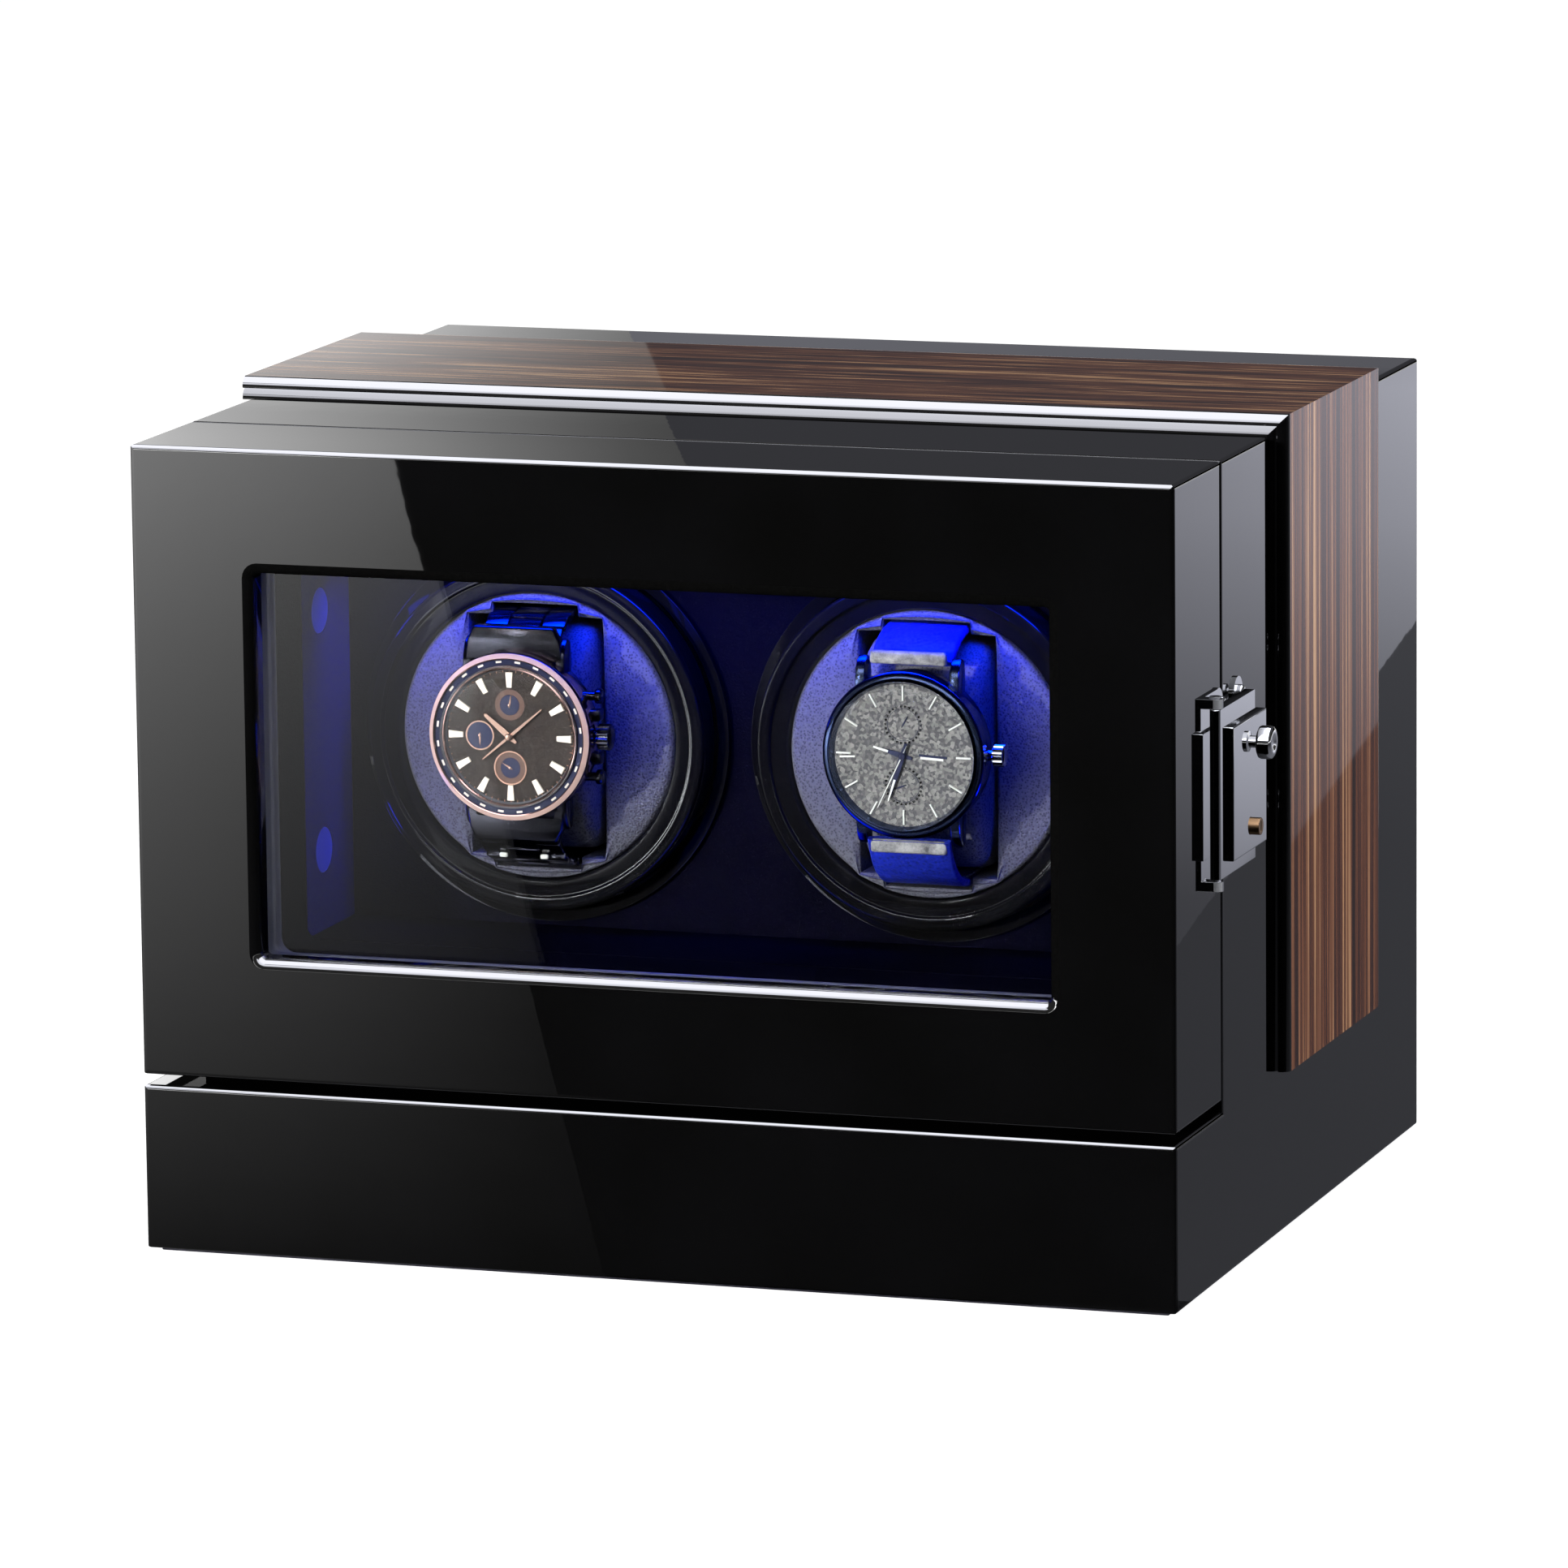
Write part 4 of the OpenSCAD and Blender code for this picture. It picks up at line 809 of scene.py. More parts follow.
def drumPad(side):
    front, back = depths("drum_pad_" + side)
    rim, floor, lip = drum["pad"], drum["floor"], 0.8
    keys = [math.atan2(h, w) for w, h in (drum["pocket"], drum["notch"],
                                          (drum["notch"][0], drum["pocket"][1]))]
    angles = sorted({round(a % (2 * math.pi), 5) for k in keys for a in (k, math.pi - k, math.pi + k, -k)}
                    | {round(2 * math.pi * i / 144, 5) for i in range(144)})
    bm = bmesh.new()
    rows = []
    for a in angles:
        inner = pocketReach(a)
        span = rim - inner
        q, e = min(drum["pocketEdge"], span * 0.3), min(drum["padEdge"], span * 0.45)
        line = [(0.02, floor), (inner * 0.6, floor), (inner, floor), (inner, 12), (inner, q + 1.2)]
        line += [(inner + q * (1 - math.cos(t)), lip + q * (1 - math.sin(t))) for t in quarter(drum["rows"])]
        line += [(inner + q + (span - q - e) * t, lip - drum["crown"] * math.sin(math.pi * t))
                 for t in (0.25, 0.5, 0.75)]
        line += [(rim - e * (1 - math.sin(t)), lip + e * (1 - math.cos(t))) for t in quarter(drum["rows"])]
        line += [(rim, 16), (rim, back - front), (0.02, back - front)]
        rows.append([bm.verts.new(place(drumMid[side], r * math.cos(a), r * math.sin(a), front + d, "y"))
                     for r, d in line])
    skin(bm, rows, around=False, ends=False, closed=True)
    bm.faces.new([row[0] for row in rows])
    bm.faces.new([row[-1] for row in reversed(rows)])
    obj = settle(addMesh("drumPad" + side.capitalize(), bm, "pad_leather", 60), "drum_pad_" + side)


for side in sides:
    drumRing(side)
    drumPad(side)
print("drums made")


# watch cushions: a squarish roll that swells a little under cloth pressure
cushion = {"shrink": 1.3, "cap": 1.2, "voxel": 2.4, "pressure": 4.0, "frames": 20, "around": 64, "play": 0.05,
           "seams": {1: 3.2, 0.97: 1.2, 0.88: 0.3}}  # the ends turn in to the seam


def loopPoint(angle, height, front, back):
    c, s = math.cos(angle), math.sin(angle)
    depth = -math.copysign(abs(c) ** (2 / 3), c) * (front if c > 0 else back)
    return depth, math.copysign(abs(s) ** (2 / 3), s) * height


def cushionPiece(side):
    low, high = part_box("cushion_" + side)
    mid, half = (low + high) / 2, (high - low) / 2
    shrink, play, cap = (cushion[k] * mm for k in ("shrink", "play", "cap"))
    bm = bmesh.new()
    rows = []
    for x in (-1, -0.97, -0.88, -0.6, 0, 0.6, 0.88, 0.97, 1):
        pull = cushion["seams"].get(abs(x), 0) * mm
        up, out = half.z - shrink - pull, half.y - shrink - pull
        ring = (loopPoint(2 * math.pi * i / cushion["around"], up, out, out)
                for i in range(cushion["around"]))
        rows.append([bm.verts.new((mid.x + x * (half.x - shrink), mid.y + d, mid.z + z)) for d, z in ring])
    skin(bm, rows)
    obj = addMesh("watchCushion" + side.capitalize(), bm, "pad_leather", 180)
    modified(obj, "REMESH", mode="VOXEL", voxel_size=cushion["voxel"] * mm)
    rest = [v.co.copy() for v in obj.data.vertices]
    cloth = obj.modifiers.new("stuffing", "CLOTH")
    cloth.settings.use_pressure = True
    cloth.settings.uniform_pressure_force = cushion["pressure"]
    cloth.settings.effector_weights.gravity = 0
    for number in range(1, cushion["frames"] + 1):
        scene.frame_set(number)
    bakeModifiers(obj)
    scene.frame_set(1)
    for vert, start in zip(obj.data.vertices, rest):
        shift = vert.co - start
        if shift.length > cap:
            vert.co = start + shift.normalized() * cap
    for vert in obj.data.vertices:  # stays inside its seat in the pad
        for k in range(3):
            vert.co[k] = min(max(vert.co[k], low[k] + play), high[k] - play)
    modified(obj, "SUBSURF", levels=1, render_levels=1)
    for poly in obj.data.polygons:
        poly.use_smooth = True
    obj.data.materials.clear()
    obj.data.materials.append(finishes["pad_leather"])
    settle(obj, "cushion_" + side)


for side in sides:
    cushionPiece(side)
print("cushions made")


# watches: case, bezel, dial and hands face the door; sizes are radii and depths in mm
watches = {"left": {"radius": 22.0, "dial": 18.6, "metal": "rose_metal"},
           "right": {"radius": 21.5, "dial": 19.2, "metal": "blue_metal"}}
for side, spec in watches.items():
    spec["mid"] = middle(f"watch_{side}_dial", 0, 2)
    spec["face"] = depths(f"watch_{side}_crystal")[0] + 2.9
lugLine = [(5.0, -7), (4.9, -3.4), (5.4, -0.4), (6.6, 1.7), (8.6, 2.9), (10.6, 2.1), (11.2, -1.5), (10.8, -7)]
stemDepth = headDepth + 7.8


def flatPart(name, outline, thick, finish, mid, depth, angle=0.0, bevel=0.0):
    # a flat part lying on a dial, turned anticlockwise from three o'clock, its face at depth
    part = plate(name, outline, thick, finish, bevel)
    part.data.transform(dialMatrix(mid, depth) @ Matrix.Rotation(math.radians(angle), 4, "Z")
                        @ Matrix.Translation((0, 0, -thick * mm)))
    return part


def bladeHand(name, root, tip, tail, length, finish, mid, depth, angle):
    # tail to tip, widest a third of the way out
    half = [(-tail, root * 0.5), (0, root), (length * 0.3, root), (length * 0.94, tip)]
    outline = [(x, -y) for x, y in half] + [(length, 0)] + half[::-1]
    return flatPart(name, outline, 0.3, finish, mid, depth, angle, 0.08)


def markRing(name, part, count, radius, mid, depth, finish, start=0.0):
    # parts stand round the dial, drawn pointing outwards along X
    return grow(name, ringTree, None, part, finish, dialMatrix(mid, depth), Count=count, Radius=radius * mm,
                Start=start)


def bar(length, width, tip=None):
    x, y, tip = length / 2, width / 2, (tip or width) / 2
    return [(-x, -y), (x, -tip), (x, tip), (-x, y)]


def strip(x0, x1, y0, y1):
    return [(x0, y0), (x1, y0), (x1, y1), (x0, y1)]


def lugs(spec, bevel):
    parts = []
    for sx in (-1, 1):
        for sz in (-1, 1):
            x = spec["mid"][0] / mm + sx * 12.5
            outline = [(headDepth + d, spec["mid"][1] / mm + sz * (spec["radius"] + out))
                       for d, out in lugLine]
            parts.append(edgeBevel(slab("lug", outline, x - 1.3, x + 1.3, spec["metal"], "x"), bevel, 50))
    return parts


def crown(spec, radius, length, teeth, reach):
    # a fluted cap on a short stem, out of the case's right side
    mid = (frontY + stemDepth * mm, spec["mid"][1])
    x = spec["mid"][0] / mm + spec["radius"] + reach
    outline = []
    for i in range(teeth * 4):
        r = radius * (1.0 if i % 4 in (0, 1) else 0.9)
        a = 2 * math.pi * i / (teeth * 4)
        outline.append((stemDepth + r * math.cos(a), mid[1] / mm + r * math.sin(a)))
    end = [(0, length + 0.35), (radius * 0.55, length + 0.3), (radius * 0.8, length),
           (radius * 0.8, length - 0.5), (0, length - 0.5)]
    stem = [(0, -3), (radius * 0.55, -3), (radius * 0.55, 0.4), (0, 0.4)]
    return [slab("crownCap", outline, x, x + length, spec["metal"], "x"),
            turned("crownEnd", end, mid, spec["metal"], 48, 50, "x", x),
            turned("crownStem", stem, mid, spec["metal"], 32, 35, "x", x)]


def watchCase(spec, front):
    # front: the bezel's own outline, from the dial's edge outwards
    r = spec["radius"]
    profile = [(0, 3.85), (spec["dial"] + 0.1, 3.85), *front, (r, 4.4), (r - 0.8, 5.1), (r - 0.6, 6.2),
               (r - 0.6, 10.4), (r - 1.2, 11.6), (r - 2.6, 12.6), (r - 4.0, 13), (0, 13)]
    return turned("caseBody", profile, spec["mid"], spec["metal"], 160, 28, base=headDepth)


def dialPlate(side, finish):
    node, r = f"watch_{side}_dial", watches[side]["dial"] - 0.1
    settle(turned(f"watch{side.capitalize()}Dial", [(0, 0), (r, 0), (r, 0.6), (0, 0.6)], watches[side]["mid"],
                  finish, base=watches[side]["face"]), node)


def domedCrystal(side):
    node, r = f"watch_{side}_crystal", watches[side]["dial"] - 0.05
    profile = [(0, 1.2), (0, 0)] + [(r * t, 0.5 * t ** 4) for t in (0.4, 0.65, 0.8, 0.9, 0.96, 1.0)]
    profile += [(r, 1.2)]
    obj = turned(f"watch{side.capitalize()}Crystal", profile, watches[side]["mid"], "crystal", 128, 40,
                 base=depths(node)[0])
    settle(obj, node).visible_shadow = False


def leftWatch():
    spec = watches["left"]
    mid, face, r = spec["mid"], spec["face"], spec["dial"]
    x0, z0 = (c / mm for c in mid)
    parts = [watchCase(spec, [(17.5, 1.5), (17.55, 0.8), (17.8, 0.62), (18.6, 1.0), (18.7, 1.35), (20.2, 1.1),
                              (20.25, 0.45), (20.5, 0.3), (21.7, 1.1), (21.95, 1.6), (22, 2.4)])]
    steel = dict(spec, metal="bracelet_metal")
    parts += lugs(steel, 0.45) + crown(steel, 3.4, 3.0, 16, 0.4)
    push = [(0, -2), (1.15, -2), (1.15, 2.0), (1.8, 2.2), (1.95, 2.5), (1.95, 3.5), (1.6, 3.9), (0, 4)]
    for z in (-10.5, 10.5):
        parts.append(turned("pusher", push, (frontY + stemDepth * mm, mid[1] + z * mm), "bracelet_metal", 40,
                            35, "x", x0 + math.sqrt(spec["radius"] ** 2 - z ** 2)))
    for z in (-5.6, 5.6):
        outline = [(headDepth + d, z0 + z + w) for d, w in ((6.0, -1.5), (6.0, 1.5), (9.8, 1.5), (9.8, -1.5))]
        parts.append(edgeBevel(slab("crownGuard", outline, x0 + 19.0, x0 + 22.9, "bracelet_metal", "x"), 0.5))
    settle(join("watchLeftCase", parts), "watch_left_case")
    extra(turned("watchLeftChapterRing", [(18.7, 1.34), (20.3, 1.0), (20.3, 1.25), (18.7, 1.6)], mid,
                 "darkHand", 128, 30, base=headDepth), "watch_left_case")
    # the bezel rim is a light rose satin, a painted highlight in place of the polished rim's reflections
    rim = [(20.5, 0.42), (20.62, 0.24), (21.72, 1.0), (21.74, 1.3), (20.5, 0.6)]
    extra(turned("watchLeftBezelRim", rim, mid, "roseSatin", 160, 30, base=headDepth), "watch_left_case")
    extra(markRing("watchLeftMinuteMarks", plate("dash", bar(0.5, 1.5), 0.16), 24, 19.6, mid, headDepth + 1.2,
                   "ivory", 0.13), "watch_left_case")
    dialPlate("left", "dial_dark")
    flange = [(r - 1.5, -0.02), (r - 0.15, -1.7), (r - 0.02, -1.7), (r - 0.02, 0.1), (r - 1.4, 0.1)]
    extra(turned("watchLeftFlange", flange, mid, "plate", 128, 30, base=face), "watch_left_dial")
    wedge, tick = plate("wedge", bar(3.9, 1.35, 1.95), 0.5, bevel=0.12), plate("tick", bar(0.8, 0.14), 0.06)
    extra(markRing("watchLeftHourMarks", wedge, 12, r * 0.79, mid, face, "ivory"), "watch_left_dial")
    extra(markRing("watchLeftTicks", tick, 60, r * 0.915, mid, face, "roseHand"), "watch_left_dial")
    rings, plates = [], []
    for x, z, rim, angle in ((0, -0.44, 4.1, 150), (0, 0.44, 4.1, 80), (-0.44, 0, 3.5, -90)):
        spot = (mid[0] + x * r * mm, mid[1] + z * r * mm)
        if x or z < 0:
            rings.append(turned("subRing", [(rim - 0.15, -0.02), (rim, -0.3), (rim + 0.35, -0.3),
                                            (rim + 0.5, -0.02),
                         (rim + 0.5, 0.05), (rim - 0.15, 0.05)], spot, "roseHand", 72, base=face))
        plates.append(turned("subPlate", [(0, -0.12), (rim - 0.1, -0.06), (rim - 0.1, 0.05), (0, 0.05)], spot,
                             "darkHand" if x else "brownPlate", 72, base=face))
        if not x:
            plates.append(turned("subWell", [(0, -0.16), (2.6, -0.15), (2.7, -0.05), (0, -0.05)], spot,
                                 "darkHand", 72, base=face))
        rings.append(turned("subHub", [(0, -0.55), (0.35, -0.5), (0.4, -0.1), (0, -0.1)], spot, "roseHand",
                            24, base=face))
        rings.append(bladeHand("subHand", 0.22, 0.1, 0.8, 2.7, "roseHand", spot, face - 0.32, angle))
    rings.append(bladeHand("minuteHand", 0.38, 0.2, 9.6, 12.1, "roseHand", mid, face - 1.1, 40))
    rings.append(bladeHand("hourHand", 0.75, 0.5, 2.4, 9.0, "roseHand", mid, face - 0.75, 140))
    rings.append(turned("handHub", [(0, -1.75), (0.7, -1.7), (1.0, -1.45), (1.0, 0), (0, 0)], mid, "roseHand",
                        40, base=face))
    extra(join("watchLeftHands", rings), "watch_left_dial")
    extra(join("watchLeftSubdials", plates), "watch_left_dial")
    domedCrystal("left")


def rightWatch():
    spec = watches["right"]
    mid, face, r = spec["mid"], spec["face"], spec["dial"]
    bezel = [(19.35, 1.3), (19.6, 0.95), (20.0, 0.75), (20.6, 0.9), (21.15, 1.3), (21.5, 1.8)]
    settle(join("watchRightCase", [watchCase(spec, bezel)] + lugs(spec, 0.4)), "watch_right_case")
    extra(join("watchRightCrown", crown(dict(spec, metal="chrome"), 2.8, 2.6, 14, 0.9)), "watch_right_case")
    dialPlate("right", "dial_grey")
    flange = [(r - 0.9, -0.02), (r - 0.1, -1.9), (r - 0.02, -1.9), (r - 0.02, 0.1), (r - 0.9, 0.1)]
    extra(turned("watchRightFlange", flange, mid, "blue_metal", 128, 30, base=face), "watch_right_dial")
    # the strap's end bars carry patchy light and dark grey, painted highlights and shade of crumpled leather
    for name, depth, z in (("strapEndLow", 6.2, -24.3), ("strapEndTop", 6.9, 24.3)):
        spot = (mid[0], frontY + (headDepth + depth) * mm, mid[1] + z * mm)
        extra(boxMesh(name, (20.4, 2.4, 3.5), "strapEnd", 0.9, 3, spot), "strap_right")
    stick, tick = plate("stick", bar(3.8, 0.42), 0.45, bevel=0.1), plate("tick", bar(0.7, 0.12), 0.05)
    extra(markRing("watchRightHourMarks", stick, 12, r * 0.83, mid, face, "paleMark"), "watch_right_dial")
    extra(markRing("watchRightTicks", tick, 60, r * 0.955, mid, face, "darkHand"), "watch_right_dial")
    dark = []
    for z, angle in ((-0.41, 200), (0.41, 60)):
        spot = (mid[0], mid[1] + z * r * mm)
        dark.append(markRing("subDots", plate("dot", bar(0.55, 0.55), 0.16), 26, 4.7, spot, face, "darkHand"))
        dark.append(turned("subRing", [(4.1, -0.02), (4.12, -0.12), (4.2, -0.12), (4.22, -0.02), (4.22, 0.05),
                    (4.1, 0.05)], spot, "darkHand", 64, base=face))
        dark.append(bladeHand("subHand", 0.2, 0.1, 0.8, 2.6, "darkHand", spot, face - 0.25, angle))
    dark.append(flatPart("dateBar", strip(4.2, 11.6, 0.15, 0.75), 0.3, "darkHand", mid, face - 0.3, -3))
    dark.append(bladeHand("minuteHand", 0.75, 0.3, 3.4, 11.8, "darkHand", mid, face - 1.15, -108))
    dark.append(bladeHand("hourHand", 0.7, 0.4, 2.6, 5.0, "darkHand", mid, face - 0.8, 165))
    dark.append(turned("handHub", [(0, -1.8), (0.7, -1.75), (0.95, -1.5), (0.95, 0), (0, 0)], mid, "darkHand",
                       40, base=face))
    pale = [flatPart("pale", outline, thick, "paleMark", mid, face - lift, angle)
            for outline, thick, lift, angle in (
        (strip(12.9, 16.9, -0.2, 0.2), 0.3, 0.4, 183.4), (strip(4.6, 10.6, -0.45, 0.1), 0.3, 0.25, -3),
        ([(4.0, -0.3), (8.0, -0.22), (8.0, 0.22), (4.0, 0.3)], 0.2, 0.95, 165),
        ([(6.5, -0.28), (11.9, -0.16), (12.6, 0), (11.9, 0.16), (6.5, 0.28)], 0.2, 1.3, -108))]
    pale.append(bladeHand("sweepHand", 0.12, 0.08, 3.0, 15.2, "paleMark", mid, face - 1.5, -116))
    extra(join("watchRightHands", dark), "watch_right_dial")
    extra(join("watchRightHighlights", pale), "watch_right_dial")
    domedCrystal("right")


leftWatch()
rightWatch()
print("watches made")


# bracelet and strap run round the cushion from the lower lugs to the upper ones
strap = {"width": 22.0, "height": 33.0, "front": 28.0, "back": 21.8, "top": 25.9, "low": 19.1, "links": 27,
         "stitches": 46, "samples": 800}


def strapPath(side, count):
    low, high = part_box("cushion_" + side)
    mid = (low + high) / 2
    start, end = (math.asin((strap[k] / strap["height"]) ** 1.5) for k in ("top", "low"))
    size = [strap[k] * mm for k in ("height", "front", "back")]
    fine = []
    for i in range(strap["samples"] + 1):
        d, z = loopPoint(start + (2 * math.pi - end - start) * i / strap["samples"], *size)
        fine.append(Vector((mid.x, mid.y + d, mid.z + z)))
    lengths = [0.0]
    for a, b in zip(fine, fine[1:]):
        lengths.append(lengths[-1] + (b - a).length)
    out, k = [], 0
    for i in range(count):
        target = lengths[-1] * i / (count - 1)
        while k < len(fine) - 2 and lengths[k + 1] < target:
            k += 1
        t = (target - lengths[k]) / max(lengths[k + 1] - lengths[k], 1e-9)
        out.append(fine[k].lerp(fine[k + 1], t))
    return out


def outwards(path, i):
    # the direction square to a path that lies in one plane
    along = (path[min(i + 1, len(path) - 1)] - path[max(i - 1, 0)]).normalized()
    return Vector((1, 0, 0)).cross(along)


def bracelet():
    path, finish = strapPath("left", 120), "bracelet_metal"
    pitch = sum((b - a).length for a, b in zip(path, path[1:])) / mm / strap["links"]
    link = [boxMesh("linkMiddle", (8.6, pitch * 0.93, 2.5), finish, 0.5)]
    for s in (-1, 1):
        spot = (s * 7.75 * mm, pitch * 0.5 * mm, -0.1 * mm)
        link.append(boxMesh("linkOuter", (6.3, pitch * 0.86, 2.1), finish, 0.55, spot=spot))
    link.append(boxMesh("linkPin", (20.6, 1.0, 1.0), finish, 0.3))
    settle(grow("braceletLinks", pathTree, pointsMesh(path, True), join("link", link), finish,
                Count=strap["links"] + 1), "bracelet_left")
    x0, z0 = (c / mm for c in watches["left"]["mid"])
    for s, name in ((-1, "endLinkLow"), (1, "endLinkTop")):  # the end links widen to meet the case
        half = [(13.4, 19), (12.6, 24.5), (10.8, 28)]
        ring = [(-13.4, 19)] + half + [(-x, z) for x, z in half[:0:-1]]
        outline = [(x0 + x, z0 + s * z) for x, z in ring]
        end = slab(name, outline, headDepth + 4.9, headDepth + 8.2, finish)
        extra(edgeBevel(end, 0.6), "bracelet_left")
    # pale studs at the link joints near the case are painted glints
    studs = []
    for s in (-1, 1):
        frontPart = (p for p in path if p.y < path[0].y + 30 * mm)
        near = min(frontPart, key=lambda p: abs(p.z - (z0 + s * 31.5) * mm))
        for dx in (-5.6, 5.6):
            spot = near + Vector((dx, -1.2, math.copysign(1.0, near.z - z0 * mm))) * mm
            studs.append(boxMesh("stud", (2.3, 1.2, 1.3), "paleMark", 0.45, spot=spot))
    extra(join("braceletStuds", studs), "bracelet_left")


def strapSection(t):
    # (across, outwards) at a share of the strap's length
    half, edge = strap["width"] / 2, min(t, 1 - t)
    pad = 0.55 * math.exp(-((edge - 0.035) / 0.03) ** 2) + 0.25  # fuller where it folds round the spring bar
    wave = 0.10 * noise.noise(Vector((t * 60, 3.1, 7.7))) if edge < 0.12 else 0
    side = [(half - 1.7, 0.95), (half - 0.5, 0.95), (half, 0.55), (half, -0.5), (half - 0.6, -1.2)]
    top = [(a, 0.95 + (pad + wave) * (1 - (a / (half - 1.6)) ** 4)) for a in (-8.5, -6, -3, 0, 3, 6, 8.5)]
    return [(-a, -o) for a, o in side[-2::-1]] + [(a, -o) for a, o in top + side] + [(0.6 - half, 1.2)]


def leatherStrap():
    path = strapPath("right", 150)
    bm = bmesh.new()
    rows = []
    for i, point in enumerate(path):
        out = outwards(path, i)
        rows.append([bm.verts.new(point + Vector((a * mm, 0, 0)) + out * o * mm)
                     for a, o in strapSection(i / (len(path) - 1))])
    skin(bm, rows)
    settle(addMesh("watchStrap", bm, "strap_leather", 50), "strap_right")
    for name, x in (("strapStitchesLeft", 1.9 - strap["width"] / 2),
                    ("strapStitchesRight", strap["width"] / 2 - 1.9)):
        seam = [p + Vector((x * mm, 0, 0)) - outwards(path, i) * 1.1 * mm for i, p in enumerate(path)][4:-4]
        extra(grow(name, pathTree, pointsMesh(seam, True),
                   boxMesh("stitch", (0.55, 2.1, 0.5), "thread", 0.18, 1),
                   "thread", Count=strap["stitches"]), "strap_right")


bracelet()
leatherStrap()
print("straps made")


# screw heads over the plain shanks
screws = {"steps": 32, "rear": (1.65, 0.4), "lock": (1.85, 0.9), "inset": 1.7, "ears": 20.5}


def screwHead(name, radius, height):
    # a domed head with a cross recess, facing -Y, its seat at the origin
    bm = bmesh.new()
    turns = [2 * math.pi * i / screws["steps"] for i in range(screws["steps"])]
    rows = [[bm.verts.new((r * radius * mm * math.cos(a), -h * height * mm, r * radius * mm * math.sin(a)))
             for a in turns] for r, h in ((1, 0), (1, 0.35), (0.86, 0.75), (0.62, 0.95))]
    star = []
    for a in turns:
        near = abs((a + math.pi / 4) % (math.pi / 2) - math.pi / 4)
        r = radius * mm * (0.5 if near < 0.25 else 0.22)
        star.append(bm.verts.new((r * math.cos(a), -height * 0.95 * mm, r * math.sin(a))))
    skin(bm, rows + [star, [bm.verts.new((v.co.x * 0.9, -height * 0.3 * mm, v.co.z * 0.9)) for v in star]])
    return addMesh(name, bm, "screw_steel", 40)


def screwRow(name, node, points, turn, size):
    # turn takes a head that faces -Y to where it points
    part = screwHead("screwPart", *size)
    part.data.transform(Matrix.Rotation(turn, 4, "Z"))
    return extra(grow(name, spotTree, pointsMesh(points), part, "screw_steel"), node)


low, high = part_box("rear_screws")
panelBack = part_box("rear_panel")[1].y
inset = screws["inset"] * mm
screwRow("rearScrewHeads", "rear_screws",
         [(s * (high.x - inset), panelBack + 0.78 * mm, z) for s in (-1, 1)
          for z in (low.z + inset, (low.z + high.z) / 2, high.z - inset)], math.pi, screws["rear"])


# rear knobs: a skirt, a fluted grip and a pointer line
knob = {"ribs": 28, "ribRadius": 6.45}


def rearKnob(side):
    node, mid = "mode_knob_" + side, middle("mode_knob_" + side, 0, 2)
    base, end = depths(node)
    panel = (panelBack - frontY) / mm
    profile = [(0, base), (3, base), (3, panel + 0.3), (7.6, panel + 0.3), (8.0, panel + 0.7),
               (8.0, panel + 1.6),
               (7.7, panel + 2.0), (6.5, panel + 2.2), (6.35, end - 1.2), (6.0, end - 0.5), (5.3, end - 0.1),
               (0, end - 0.25)]
    settle(evenNormals(turned("modeKnob" + side.capitalize(), profile, mid, "knob_black", 96)), node)
    rib = boxMesh("rib", (0.8, 0.5, 7.0), "knob_black", 0.16, 1, (0, 0, -(panel + end) / 2 * mm))
    extra(grow("modeKnobRibs" + side.capitalize(), ringTree, None, rib, "knob_black", dialMatrix(mid, 0),
               Count=knob["ribs"], Radius=knob["ribRadius"] * mm, Start=0.0), node)
    x, z = (c / mm for c in mid)
    extra(slab("modeKnobPointer" + side.capitalize(), strip(x - 0.35, x + 0.35, z - 5.0, z - 0.8), end - 0.35,
               end - 0.12, "ivory"), node)


for side in sides:
    rearKnob(side)


# the lock's turning knob: fluted rim, dished face
low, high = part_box("latch_knob")
start, end = low.x / mm, high.x / mm
lockProfile = [(0, start), (1.45, start), (1.5, start + 0.1)] + [(r, end - back) for r, back in (
    (1.5, 8.0), (2.6, 7.7), (2.6, 6.6), (1.5, 6.4), (1.5, 4.0), (3.4, 4.0), (4.0, 3.7), (4.2, 3.2),
    (4.2, 1.3), (4.0, 0.6), (3.4, 0.15), (2.6, 0), (1.9, 0.1), (1.2, 0.45), (0, 0.55))]
settle(evenNormals(turned("lockKnob", lockProfile, middle("latch_knob", 1, 2), "chrome", 96, 30, "x")),
       "latch_knob")

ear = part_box("cabinet_screws")[1].x - 0.1 * mm
for name, node, depth in (("cabinetScrewHeads", "cabinet_screws", 51.9),
                          ("doorScrewHeads", "door_screws", 34.0)):
    spots = [(ear, frontY + depth * mm, lockMid + s * screws["ears"] * mm) for s in (-1, 1)]
    screwRow(name, node, spots, math.pi / 2, screws["lock"])
for name in ("lockKnob", "cabinetScrewHeads", "doorScrewHeads"):
    bpy.data.objects[name].visible_glossy = False
print("hardware made")


# studio: pale floor, white surroundings, lights, and cards that only reflections see
studio = {"fill": 0.05, "floor": 0.87, "key": 100.0, "padKey": 76.0, "overhead": 3.5, "top": 8.0,
          "side": 26.0, "bar": 0.36, "lamp": 0.016, "distance": 2.4, "size": 9.0, "warm": (1, 0.99, 0.97),
          "cool": (0.96, 0.97, 1.06), "blue": (0.0, 0.02, 1.0), "lift": 0.0005, "back": 1.5}


def brighter(tree, *rays):
    # one for rays of these kinds, zero for the rest
    path, last = tree.nodes.new("ShaderNodeLightPath"), None
    for ray in rays:
        if last:
            both = tree.nodes.new("ShaderNodeMath")
            both.operation = "MAXIMUM"
            tree.links.new(last, both.inputs[0])
            tree.links.new(path.outputs[ray], both.inputs[1])
        last = both.outputs[0] if last else path.outputs[ray]
    return last


